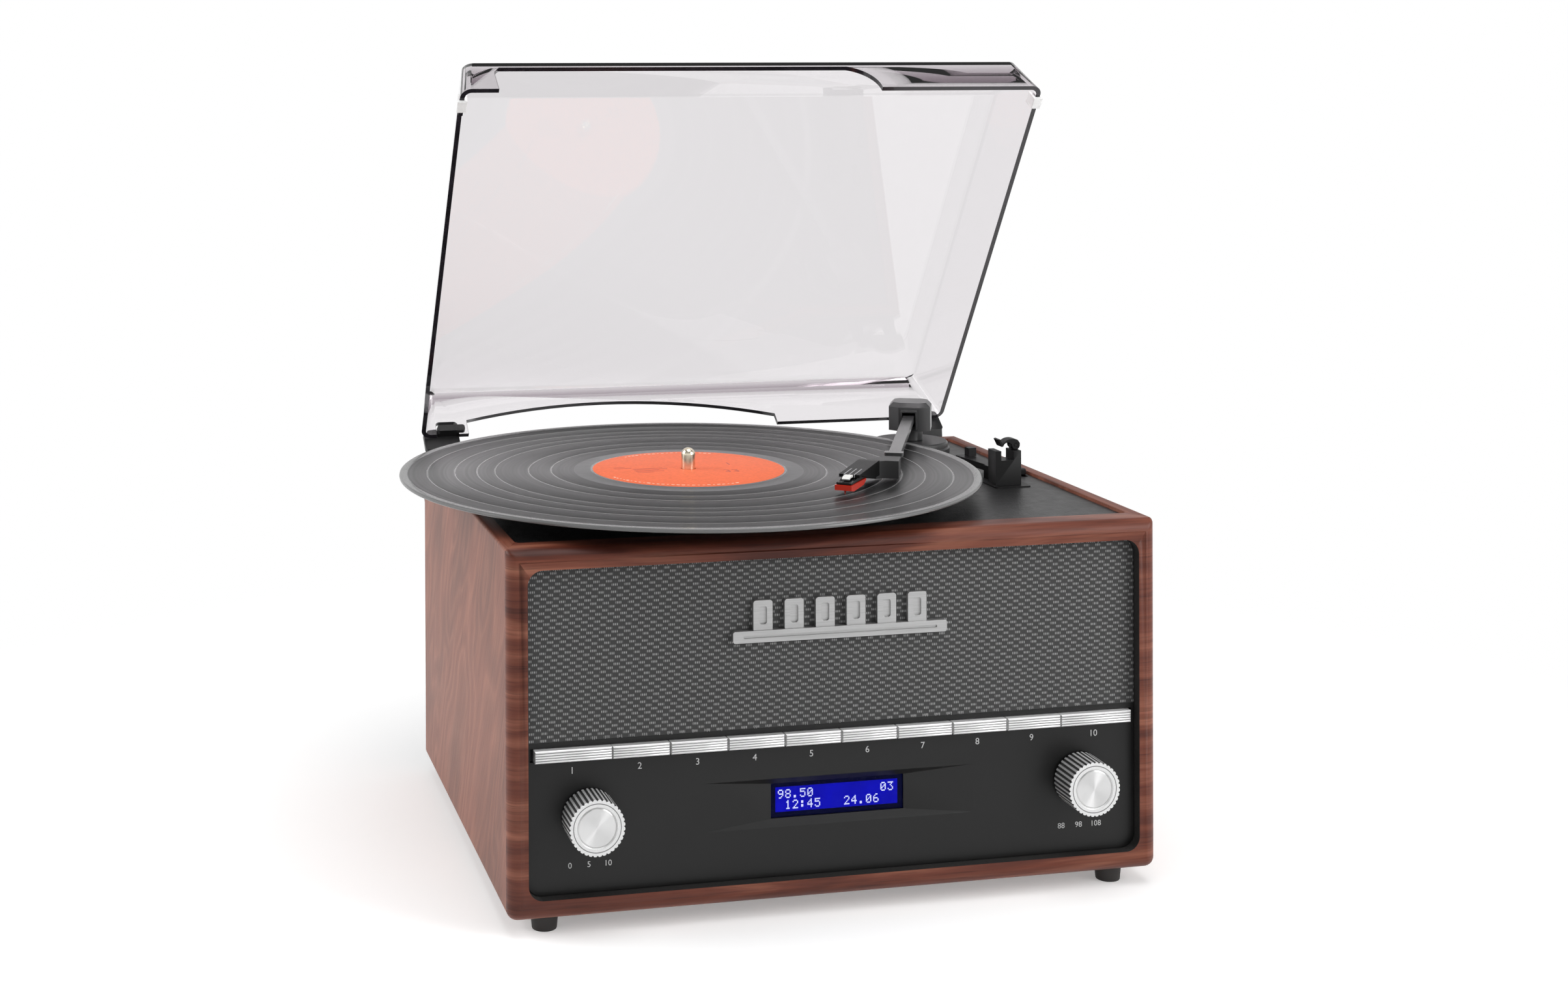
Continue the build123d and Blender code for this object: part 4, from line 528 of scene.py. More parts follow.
@cache
def smoked_acrylic():
    """Cast acrylic, clear with a faint violet smoke: light passes with a slight tint and a sharp reflection.
    Shadow rays pass nearly unchanged, as light does through thin sheet."""
    smoke = settings().lid
    material, tree, surface, place = new_finish("smoked_cast_acrylic", {
        "Base Color": grey(1.0), "Transmission Weight": 1.0, "IOR": 1.49})
    wear_patch = 40 * MM
    wear = add_node(tree, "ShaderNodeTexNoise", {
        "Vector": scaled(tree, place, (wear_patch,) * 3), "Scale": 1.0, "Detail": 2.0})
    roughened(tree, surface, wear.outputs["Fac"], 0.0, 0.03)
    passed = add_node(tree, "ShaderNodeBsdfTransparent", {"Color": grey(0.96)})
    dye = add_node(tree, "ShaderNodeVolumeAbsorption", {"Color": tuple(smoke.tint), "Density": smoke.density})
    rays = add_node(tree, "ShaderNodeLightPath")
    either = add_node(tree, "ShaderNodeMixShader", {
        "Fac": rays.outputs["Is Shadow Ray"], 1: surface.outputs["BSDF"], 2: passed.outputs["BSDF"]})
    output = next(node for node in tree.nodes if node.type == "OUTPUT_MATERIAL")
    tree.links.new(either.outputs["Shader"], output.inputs["Surface"])
    tree.links.new(dye.outputs["Volume"], output.inputs["Volume"])
    return material


@cache
def acrylic_rim():
    """Cut edge of the smoked acrylic, painted nearly black as painted shade for the long way the light takes
    through the sheet.
    """
    material, tree, surface, place = new_finish("acrylic_edge_painted_dark", {"IOR": 1.49, "Coat Weight": 0.4})
    rim_patch = 12 * MM
    depth = add_node(tree, "ShaderNodeTexNoise", {
        "Vector": scaled(tree, place, (rim_patch,) * 3), "Scale": 1.0, "Detail": 2.0})
    rim = tuple(settings().lid.rim)
    # the edge's near-black and its slow unevenness are painted shade, not a dye in the acrylic
    coloured(tree, surface, depth.outputs["Fac"], (0.35, rim), (0.75, toned(rim, 2.2)))
    roughened(tree, surface, depth.outputs["Fac"], 0.12, 0.24)
    return material


@cache
def glowing(name, colour, strength, base):
    """Back-lit liquid-crystal glass: a dark surface that gives off its own even colour."""
    material, tree, surface, place = new_finish(name, {
        "Base Color": linear(base), "Roughness": 0.3, "Emission Strength": strength,
        "Specular IOR Level": 0.05})
    glow_patch = 9 * MM
    uneven = add_node(tree, "ShaderNodeTexNoise", {
        "Vector": scaled(tree, place, (glow_patch,) * 3), "Scale": 1.0, "Detail": 2.0})
    shade = linear(colour)
    glow = ramp(tree, uneven.outputs["Fac"], (0.3, toned(shade, 0.8)), (0.7, shade))
    tree.links.new(glow, surface.inputs["Emission Color"])
    return material


@cache
def window_glass():
    """Thin clear window over the display: nearly invisible, with a faint sharp reflection."""
    material, tree, surface, place = new_finish("clear_window", {
        "Base Color": linear("#10131f"), "Alpha": 0.07, "IOR": 1.49, "Specular IOR Level": 0.08})
    haze_patch = 8 * MM
    haze = add_node(tree, "ShaderNodeTexNoise", {
        "Vector": scaled(tree, place, (haze_patch,) * 3), "Scale": 1.0, "Detail": 2.0})
    roughened(tree, surface, haze.outputs["Fac"], 0.03, 0.09)
    return material


# ---------------------------------------------------------------- making pieces
def copy_of(node, sort=None):
    """Welded copy of a CAD node with its flat faces whole; sort gives each triangle's finish by number."""
    weld_gap, flat_angle = 0.005 * MM, radians(0.5)
    mesh = bmesh.new()
    mesh.from_mesh(frame["nodes"][node].data)
    bmesh.ops.remove_doubles(mesh, verts=mesh.verts, dist=weld_gap)
    if sort:
        mesh.normal_update()
        tree = BVHTree.FromBMesh(mesh)
        for face in mesh.faces:
            face.material_index = sort(face, tree)
    bmesh.ops.dissolve_limit(mesh, angle_limit=flat_angle, verts=mesh.verts, edges=mesh.edges,
                             delimit={"MATERIAL"})
    return mesh


def add_piece(name, mesh, body, materials, nodes=(), bevel=0.0, smooth=32.0):
    """Make a piece of a bmesh or a mesh that rides on a body and stands for some nodes. Its bevel is in
    millimetres, and its faces are shaded smooth across edges under an angle in degrees."""
    if isinstance(mesh, bmesh.types.BMesh):
        data = bpy.data.meshes.new(name)
        mesh.to_mesh(data)
        mesh.free()
    else:
        data = mesh
        data.name = name
    if not data.materials:
        for material in materials:
            data.materials.append(material)
    data.shade_smooth()
    data.set_sharp_from_angle(angle=radians(smooth))
    piece = bpy.data.objects.new(name, data)
    bpy.context.scene.collection.objects.link(piece)
    if bevel:
        soft = piece.modifiers.new("soft_edges", "BEVEL")
        soft.width = bevel * MM
        soft.segments = 2
        soft.limit_method = "ANGLE"
        soft.angle_limit = radians(40)
        soft.use_clamp_overlap = True
        soft.harden_normals = True
    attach(piece, body)
    if nodes:
        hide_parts(*nodes)
    return piece


def dress(node, material, bevel):
    """Finished copy of a CAD node with its edges softened."""
    return add_piece(node + "_finished", copy_of(node), body_of_node[node], [material],
                     [node], bevel)


def paint(node, material):
    """Give a CAD node that stays as it is its finish."""
    data = frame["nodes"][node].data
    data.materials.clear()
    data.materials.append(material)


def turned(profile, axis, along, segments, closed=True):
    """Solid turned from points of (radius, height, finish of the band that follows) about an axis that runs
    along Y (1) or Z (2)."""
    mesh = bmesh.new()
    rings = []
    for radius, height, _ in profile:
        if radius == 0:
            spots = [(0.0, 0.0)]
        else:
            spots = [(radius * cos(2 * pi * i / segments), radius * sin(2 * pi * i / segments))
                     for i in range(segments)]
        ring = []
        for a, b in spots:
            place = {2: (a, b, height), 1: (a, height, b)}[along]
            ring.append(mesh.verts.new(Vector(place) + axis))
        rings.append(ring)
    pairs = list(zip(rings, rings[1:], profile))
    if closed:
        pairs.append((rings[-1], rings[0], profile[-1]))
    for one, two, (_, _, index) in pairs:
        for i in range(segments):
            after = (i + 1) % segments
            corners = [one[i % len(one)], one[after % len(one)], two[after % len(two)], two[i % len(two)]]
            corners = list(dict.fromkeys(corners))
            if len(corners) > 2:
                mesh.faces.new(corners).material_index = index
    bmesh.ops.recalc_face_normals(mesh, faces=mesh.faces)
    return mesh


def block(mesh, low, high, place=Matrix.Identity(4)):
    """Add a box between two corners, in a place of its own, to a bmesh."""
    low, high = Vector(low), Vector(high)
    middle = Matrix.Translation((low + high) / 2)
    size = Matrix.Diagonal([*(high - low), 1.0])
    bmesh.ops.create_cube(mesh, size=1.0, matrix=place @ middle @ size)
    return mesh


def lettered(entries, depth):
    """Raised numbers as one bmesh, from entries of (text, height, place)."""
    mesh = bmesh.new()
    for text, height, place in entries:
        curve = bpy.data.curves.new("numbers", "FONT")
        curve.body = text
        curve.size = height
        curve.align_x = "CENTER"
        curve.align_y = "CENTER"
        curve.extrude = depth / 2
        curve.resolution_u = 4
        written = bpy.data.objects.new("numbers", curve)
        bpy.context.scene.collection.objects.link(written)
        seen = written.evaluated_get(bpy.context.evaluated_depsgraph_get())
        flat = bpy.data.meshes.new_from_object(seen)
        flat.transform(place)
        mesh.from_mesh(flat)
        bpy.data.objects.remove(written)
        bpy.data.curves.remove(curve)
        bpy.data.meshes.remove(flat)
    return mesh


def repeat_tree(name, shape, material):
    """Geometry nodes that set a copy of a shape on each point, turned by the point's own turn."""
    tree = bpy.data.node_groups.new(name, "GeometryNodeTree")
    tree.is_modifier = True
    tree.interface.new_socket("Geometry", in_out="INPUT", socket_type="NodeSocketGeometry")
    for label, default in (("Copy Size", 1.0), ("Unevenness", 0.0)):
        socket = tree.interface.new_socket(label, in_out="INPUT", socket_type="NodeSocketFloat")
        socket.default_value = default
    tree.interface.new_socket("Geometry", in_out="OUTPUT", socket_type="NodeSocketGeometry")
    given = add_node(tree, "NodeGroupInput")
    copy = add_node(tree, "GeometryNodeObjectInfo", {"Object": shape})
    turn = add_node(tree, "GeometryNodeInputNamedAttribute", {"Name": "turn"}, data_type="FLOAT_VECTOR")
    facing = add_node(tree, "FunctionNodeEulerToRotation", {0: turn.outputs["Attribute"]})
    least = add_node(tree, "ShaderNodeMath", {0: 1.0, 1: given.outputs["Unevenness"]}, operation="SUBTRACT")
    spread = add_node(tree, "FunctionNodeRandomValue", {2: least.outputs[0], 3: 1.0, "Seed": 7},
                      data_type="FLOAT")
    size = add_node(tree, "ShaderNodeMath", {0: given.outputs["Copy Size"], 1: spread.outputs[1]},
                    operation="MULTIPLY")
    placed = add_node(tree, "GeometryNodeInstanceOnPoints", {
        "Points": given.outputs["Geometry"], "Instance": copy.outputs["Geometry"],
        "Rotation": facing.outputs[0], "Scale": size.outputs[0]})
    whole = add_node(tree, "GeometryNodeRealizeInstances", {"Geometry": placed.outputs["Instances"]})
    finished = add_node(tree, "GeometryNodeSetMaterial", {
        "Geometry": whole.outputs["Geometry"], "Material": material})
    add_node(tree, "NodeGroupOutput", {0: finished.outputs["Geometry"]})
    return tree


def repeated(name, shape_mesh, places, material, unevenness=0.0):
    """Plain mesh of a small shape repeated at places of (point, turn), by geometry nodes."""
    shape_data = bpy.data.meshes.new(name + "_shape")
    shape_mesh.to_mesh(shape_data)
    shape_mesh.free()
    shape = bpy.data.objects.new(name + "_shape", shape_data)
    points = bpy.data.meshes.new(name)
    points.from_pydata([point for point, _ in places], [], [])
    turns = points.attributes.new("turn", "FLOAT_VECTOR", "POINT")
    turns.data.foreach_set("vector", [value for _, turn in places for value in turn])
    carrier = bpy.data.objects.new(name, points)
    for made in (shape, carrier):
        bpy.context.scene.collection.objects.link(made)
    tree = repeat_tree(name, shape, material)
    modifier = carrier.modifiers.new("repeat", "NODES")
    modifier.node_group = tree
    for item in tree.interface.items_tree:
        if item.name == "Unevenness":
            modifier[item.identifier] = unevenness
    seen = carrier.evaluated_get(bpy.context.evaluated_depsgraph_get())
    result = bpy.data.meshes.new_from_object(seen)
    carrier.modifiers.clear()
    bpy.data.objects.remove(carrier)
    bpy.data.objects.remove(shape)
    return result


TO_FRONT = Matrix.Rotation(radians(90), 4, "X")


# ---------------------------------------------------------------- cabinet
class CabinetOperator(bpy.types.Operator):
    """Wooden cabinet with its veneers and feet"""
    bl_idname = "music_centre.cabinet"
    bl_label = "Cabinet"

    def execute(self, context):
        finishes = [veneer("mahogany_veneer_front", 2), veneer("mahogany_veneer_rail", 1),
                    veneer("mahogany_veneer_side_rail", 0), slanted_veneer(), fibreboard()]
        add_piece("cabinet_veneered", copy_of("cabinet_shell", self.veneer_of), "root",
                  finishes, ["cabinet_shell"], bevel=0.3)
        dress("feet", moulded("foot_rubber", "#1d1917", 0.6, grain=0.4, depth=0.03), bevel=0.4)
        return {"FINISHED"}

    def veneer_of(self, face, tree):
        """Which finish covers a triangle of the cabinet, by its number in the list of finishes."""
        front, cross_rail, side_rail, side_wall, inside = range(5)
        front_round, board, skin = 6.2 * MM, 9.5 * MM, 8.5 * MM
        frame_depth, side_rail_width, cross_rail_width = 12 * MM, 8 * MM, 17 * MM
        low, high = box("cabinet_shell")
        middle = face.calc_center_median()
        facing = face.normal
        outside = abs(middle.x) > high.x - skin or min(middle.z - low.z, high.z - middle.z) < skin
        if facing.y > 0.7 or not (outside or middle.y < low.y + frame_depth):
            return inside
        if facing.y < -0.3 or (middle.y < low.y + front_round and abs(facing.z) < 0.5):
            return front
        if abs(facing.x) > 0.5 and abs(middle.x) > high.x - board:
            return side_wall
        if abs(middle.x) < high.x - side_rail_width or middle.y < low.y + cross_rail_width:
            return cross_rail
        return side_rail


class BackOperator(bpy.types.Operator):
    """Back panel with its screws, mains inlet and line sockets"""
    bl_idname = "music_centre.back"
    bl_label = "Back"

    def execute(self, context):
        dress("back_panel", fibreboard(), bevel=0.2)
        dress("power_inlet", moulded("inlet_nylon", "#151515", 0.4), bevel=0.25)
        dress("line_sockets", moulded("socket_nylon", "#1a1a1a", 0.4), bevel=0.2)
        low, high = box("line_sockets")
        ring_inner, ring_outer, ring_thick = 2.2 * MM, 3.5 * MM, 0.5 * MM
        pitch = (high.z - low.z) / 2
        for hand, colour in ((1, "#b3171b"), (-1, "#e8e8e4")):
            middle = Vector(((low.x + high.x) / 2, high.y, (low.z + high.z) / 2 + hand * pitch / 2))
            profile = [(ring_inner, 0, 0), (ring_outer, 0, 0), (ring_outer, ring_thick, 0),
                       (ring_inner, ring_thick, 0)]
            name = "line_socket_ring_upper" if hand > 0 else "line_socket_ring_lower"
            ring = turned(profile, middle, along=1, segments=32)
            add_piece(name, ring, "root",
                      [moulded(name + "_nylon", colour, 0.4)])
        self.screws()
        return {"FINISHED"}

    def screws(self):
        """Cross-head screws of the back panel and the hinges."""
        head_r, head_high, slot_wide, slot_deep = 3.0 * MM, 1.2 * MM, 0.7 * MM, 0.6 * MM
        middle_screw_z, hinge_screw_pitch, hinge_plate = 118.0 * MM, 8.0 * MM, 2.5 * MM
        turn_step = 17  # degrees from one row's crosses to the next
        shape = turned([(0, 0, 0), (head_r, 0, 0), (head_r, head_high * 0.5, 0), (head_r * 0.7, head_high, 0),
                        (slot_wide * 1.6, head_high, 0), (slot_wide, head_high - slot_deep, 0),
                        (0, head_high - slot_deep, 0)], Vector((0, 0, 0)), along=1, segments=20, closed=False)
        for turn in (0, 90):
            spin = Matrix.Rotation(radians(turn), 4, "Y")
            for hand in (-1, 1):
                start, end = sorted((hand * slot_wide, hand * head_r * 0.62))
                block(shape, (start, head_high - 0.02 * MM, -slot_wide * 0.35),
                      (end, head_high + 0.04 * MM, slot_wide * 0.35), spin)
        low, high = box("rear_screws")
        _, panel_high = box("back_panel")
        columns = (low.x + head_r, high.x - head_r)
        seats = [(low.z + head_r, panel_high.y), (middle_screw_z, panel_high.y)]
        hinge_seat = panel_high.y + hinge_plate
        seats += [(high.z - head_r, hinge_seat), (high.z - head_r - hinge_screw_pitch, hinge_seat)]
        places = []
        for i, (z, y) in enumerate(seats):
            for x in columns:
                places.append((Vector((x, y, z)), (0, radians(turn_step * i), 0)))
        data = repeated("rear_screw_heads", shape, places, steel())
        add_piece("rear_screws_cross_head", data, "root", [steel()],
                  ["rear_screws"])


class GrilleOperator(bpy.types.Operator):
    """Speaker cloth with its frayed edges, and the badge on it"""
    bl_idname = "music_centre.grille"
    bl_label = "Speaker cloth and badge"

    def execute(self, context):
        front = context.scene.music_centre.front
        low, high = box("grille_cloth")
        cloth = add_piece("speaker_cloth", copy_of("grille_cloth"), "root",
                          [speaker_cloth()], ["grille_cloth"], bevel=0.2)
        loop = bmesh.new()
        half_wide, half_long, proud = 0.16 * MM, 0.75 * MM, 0.30 * MM
        block(loop, (-half_wide, -proud, -half_long), (half_wide, 0, half_long))
        corner, inset = 7.0 * MM, 0.9 * MM
        strands, strand_step = 3, 0.9 * MM
        most_turn, turn_step = 9, 2.1
        places = []
        clusters = int((high.x - low.x - 2 * corner) / front.cluster_pitch)
        for row_z in (high.z - inset, low.z + inset):
            for i in range(clusters * strands):
                x = low.x + corner + (i // strands) * front.cluster_pitch + (i % strands) * strand_step
                places.append((Vector((x, low.y, row_z)), (0, radians(most_turn * sin(i * turn_step)), 0)))
        thread = moulded("frayed_thread", "#8d8d8d", 0.7, grain=0.2, depth=0.01)
        data = repeated("cloth_edge", loop, places, thread, 0.5)
        add_piece("cloth_edge_loops", data, "root", [thread])
        satin = brushed_silver("satin_badge_metal", "#b4b4b4", along=0, roughness=0.4, metallic=0.8)
        dress("badge", satin, bevel=0.45)
        return {"FINISHED"}


class PanelOperator(bpy.types.Operator):
    """Satin-black control panel with its printed numbers"""
    bl_idname = "music_centre.panel"
    bl_label = "Control panel"

    def execute(self, context):
        satin_black = moulded("satin_black_abs", "#0d0d0d", 0.4, grain=0.35, depth=0.012, level=0.3)
        dress("front_panel", satin_black, bevel=0.25)
        front = context.scene.music_centre.front
        low, _ = box("front_panel")
        film = 0.04 * MM
        face_y = low.y - film / 2
        number_z, scale_z, scale_reach = 66.4 * MM, 22.6 * MM, 9.0 * MM
        entries = []
        for i in range(1, 11):
            cap_low, cap_high = box(f"button_{i:02d}")
            middle = Vector(((cap_low.x + cap_high.x) / 2, face_y, number_z))
            entries.append((str(i), front.number_height, Matrix.Translation(middle) @ TO_FRONT))
        scale_share = 0.86  # height of the knobs' numbers against the buttons'
        for node, marks in (("volume_knob", ("0", "5", "10")), ("tune_knob", ("88", "98", "108"))):
            knob_low, knob_high = box(node)
            middle_x = (knob_low.x + knob_high.x) / 2
            for text, offset in zip(marks, (-scale_reach, 0.0, scale_reach)):
                place = Matrix.Translation((middle_x + offset, face_y, scale_z))
                entries.append((text, front.number_height * scale_share, place @ TO_FRONT))
        print_ink = ink("grey_printing_ink", "#c4c4c4")
        add_piece("panel_numbers", lettered(entries, film), "root", [print_ink])
        return {"FINISHED"}


DOT_WIDE, DOT_HIGH = 0.54 * MM, 0.60 * MM
CELLS = 16  # characters in a line of the display
# the rows of dots of each character from the top down, with 1 for a lit dot
DIGITS = {
    "0": "01110 10001 10011 10101 11001 10001 01110", "1": "00100 01100 00100 00100 00100 00100 01110",
    "2": "01110 10001 00001 00010 00100 01000 11111", "3": "11111 00010 00100 00010 00001 10001 01110",
    "4": "00010 00110 01010 10010 11111 00010 00010", "5": "11111 10000 11110 00001 00001 10001 01110",
    "6": "00110 01000 10000 11110 10001 10001 01110", "7": "11111 00001 00010 00100 01000 01000 01000",
    "8": "01110 10001 10001 01110 10001 10001 01110", "9": "01110 10001 10001 01111 00001 00010 01100",
    ":": "00000 01100 01100 00000 01100 01100 00000", ".": "00000 00000 00000 00000 00000 01100 01100",
}


class DisplayOperator(bpy.types.Operator):
    """Two-line dot-matrix display behind its window"""
    bl_idname = "music_centre.display"
    bl_label = "Display"

    def execute(self, context):
        front = context.scene.music_centre.front
        low, high = box("display_window")
        side_border, low_border, glass = 2.6 * MM, 2.4 * MM, 0.9 * MM
        sheet, backlight_rear, backlight_front = 0.3 * MM, 0.28 * MM, 0.36 * MM
        margin, upper_line, lower_line = 1.2 * MM, 1.2 * MM, 6.4 * MM
        dot_share, dot_proud = 0.46, 0.05 * MM  # half a dot against its pitch
        pane = block(bmesh.new(), low, (high.x, low.y + glass, high.z))
        add_piece("display_glass", pane, "root", [window_glass()],
                  ["display_window"], bevel=0.15)
        surround = block(bmesh.new(), (low.x, high.y - sheet, low.z), high)
        add_piece("display_surround", surround, "root",
                  [glowing("lcd_border", "#02042c", 0.8, "#01010a")])
        lit_low = Vector((low.x + side_border, high.y - backlight_front, low.z + low_border))
        lit_high = Vector((high.x - side_border, high.y - backlight_rear, high.z - low_border))
        add_piece("display_backlight", block(bmesh.new(), lit_low, lit_high), "root",
                  [glowing("lcd_backlight", "#0a0cd2", 0.85, "#02020e")])
        cell = (lit_high.x - lit_low.x - 2 * margin) / CELLS
        left = lit_low.x + margin
        places = self.lit_dots(front.display_top, left, lit_low.y, lit_high.z - upper_line, cell)
        places += self.lit_dots(front.display_low, left, lit_low.y, lit_high.z - lower_line, cell)
        half_wide, half_high = DOT_WIDE * dot_share, DOT_HIGH * dot_share
        dot = block(bmesh.new(), (-half_wide, -dot_proud, -half_high), (half_wide, 0, half_high))
        white = glowing("lcd_dots", "#e8ecff", 1.0, "#7f88c8")
        add_piece("display_dots", repeated("display_dots", dot, places, white), "root", [white])
        return {"FINISHED"}

    def lit_dots(self, text, left, front_y, top, cell):
        """Places of the lit dots of a line of text, each character five dots wide and seven high."""
        places = []
        for column, letter in enumerate(text[:CELLS]):
            for row, bits in enumerate(DIGITS.get(letter, "").split()):
                for step, bit in enumerate(bits):
                    if bit == "1":
                        x = left + column * cell + (step + 0.5) * DOT_WIDE
                        z = top - (row + 0.5) * DOT_HIGH
                        places.append((Vector((x, front_y, z)), (0, 0, 0)))
        return places


class ControlsOperator(bpy.types.Operator):
    """Ribbed push-buttons and fluted knobs"""
    bl_idname = "music_centre.controls"
    bl_label = "Buttons and knobs"

    def execute(self, context):
        cap = brushed_silver("silvered_button", "#f8f8f8", along=0, roughness=0.3, metallic=0.4)
        # the grooves get a darker copy of the caps' silver: painted shade, the same metal
        groove = brushed_silver("button_groove_painted_shade", "#8c8c8c", along=0, roughness=0.4, metallic=0.45)
        for i in range(1, 11):
            node = f"button_{i:02d}"
            add_piece(node + "_ribbed", copy_of(node, lambda face, tree: self.in_groove(face, node)),
                      body_of_node[node], [cap, groove], [node])
        for node in ("volume_knob", "tune_knob"):
            self.knob(node)
        return {"FINISHED"}

    def in_groove(self, face, node):
        """1 for a face inside the grooves of a push-button's front, which gets a darker copy of the silver as
        painted shade.
        """
        ribs_top, grooves_floor, plain_end = 0.06 * MM, 0.5 * MM, 0.4 * MM
        low, high = box(node)
        middle = face.calc_center_median()
        behind_ribs = low.y + ribs_top < middle.y < low.y + grooves_floor
        return int(behind_ribs and low.z + plain_end < middle.z < high.z - plain_end)

    def knob(self, node):
        """Fluted knob, its flutes painted darker as painted shade, with a darker ring round its spun face as
        painted shade in the turned groove.
        """
        low, high = box(node)
        axis = Vector(((low.x + high.x) / 2, 0, (low.z + high.z) / 2))
        body = body_of_node[node]
        ridge = brushed_silver("silvered_knob", "#e6e6e6", along=1, roughness=0.34, metallic=0.35)
        # the flutes' darker silver is painted shade in the valleys, the same metal as the ridges
        shaded_valley = brushed_silver("knob_flute_painted_shade", "#5e5e5e", along=1, roughness=0.34, metallic=0.35)
        flute_floor, flute_top = 12.2 * MM, 12.9 * MM

        def in_flute(face, tree):
            """1 for a face down in a flute, which gets the darker copy of the silver as painted shade."""
            middle = face.calc_center_median() - axis
            radius = Vector((middle.x, middle.z)).length
            return int(abs(face.normal.y) < 0.3 and flute_floor < radius < flute_top)

        add_piece(node + "_fluted", copy_of(node, in_flute), body, [ridge, shaded_valley],
                  [node], bevel=0.06)
        # the darker grey ring stands for the shade in the turned groove round the face: painted shade
        rim_out, rim_in, rim_depth, rim_proud = 11.3 * MM, 10.9 * MM, 0.2 * MM, 0.02 * MM
        ring = turned([(rim_in, low.y + rim_depth, 0), (rim_in, low.y - rim_proud, 0),
                       (rim_out, low.y - rim_proud, 0), (rim_out, low.y + rim_depth, 0)],
                      axis, along=1, segments=96)
        add_piece(node + "_ring", ring, body, [steel("turned_groove_painted_shade", "#7c7c7c", 0.3)])
        face_r, face_edge, face_y = 9.0 * MM, 0.5 * MM, low.y + 0.14 * MM
        edge_y, rear_y = low.y + 0.5 * MM, low.y + 2.2 * MM
        disc = turned([(0, face_y, 0), (face_r - face_edge, face_y, 0), (face_r, edge_y, 0),
                       (face_r, rear_y, 0), (0, rear_y, 0)], axis, along=1, segments=96, closed=False)
        add_piece(node + "_face", disc, body, [spun_silver()])


# ---------------------------------------------------------------- record player
class DeckOperator(bpy.types.Operator):
    """Deck with its bearing, belt, platter and mat"""
    bl_idname = "music_centre.deck"
    bl_label = "Deck"

    def execute(self, context):
        dress("deck_plate", leather_grain(), bevel=0.4)
        black = moulded("black_abs", "#161617", 0.4)
        dress("platter", black, bevel=0.3)
        dress("motor_pulley", moulded("white_acetal", "#d8d6cf", 0.4), bevel=0.15)
        paint("bearing_bush", steel())
        paint("drive_belt", moulded("belt_rubber", "#141414", 0.55))
        felt = moulded("black_felt", "#101010", 0.9, grain=0.3, depth=0.1, level=0.2)
        mat = dress("slipmat", felt, bevel=0.2)
        low, high = box("spindle")
        radius = (high.x - low.x) / 2
        axis = Vector(((low.x + high.x) / 2, (low.y + high.y) / 2, 0))
        profile = [(0, low.z, 0), (radius, low.z, 0), (radius, high.z - radius, 0)]
        dome_steps = 6
        for step in range(1, dome_steps + 1):
            turn = radians(90 * step / dome_steps)
            dome_r = radius * cos(turn) if step < dome_steps else 0
            profile.append((dome_r, high.z - radius + radius * sin(turn), 0))
        add_piece("spindle_polished", turned(profile, axis, along=2, segments=48, closed=False), "platter",
                  [steel("nickelled_brass", "#efe4cd", 0.14)], ["spindle"])
        return {"FINISHED"}


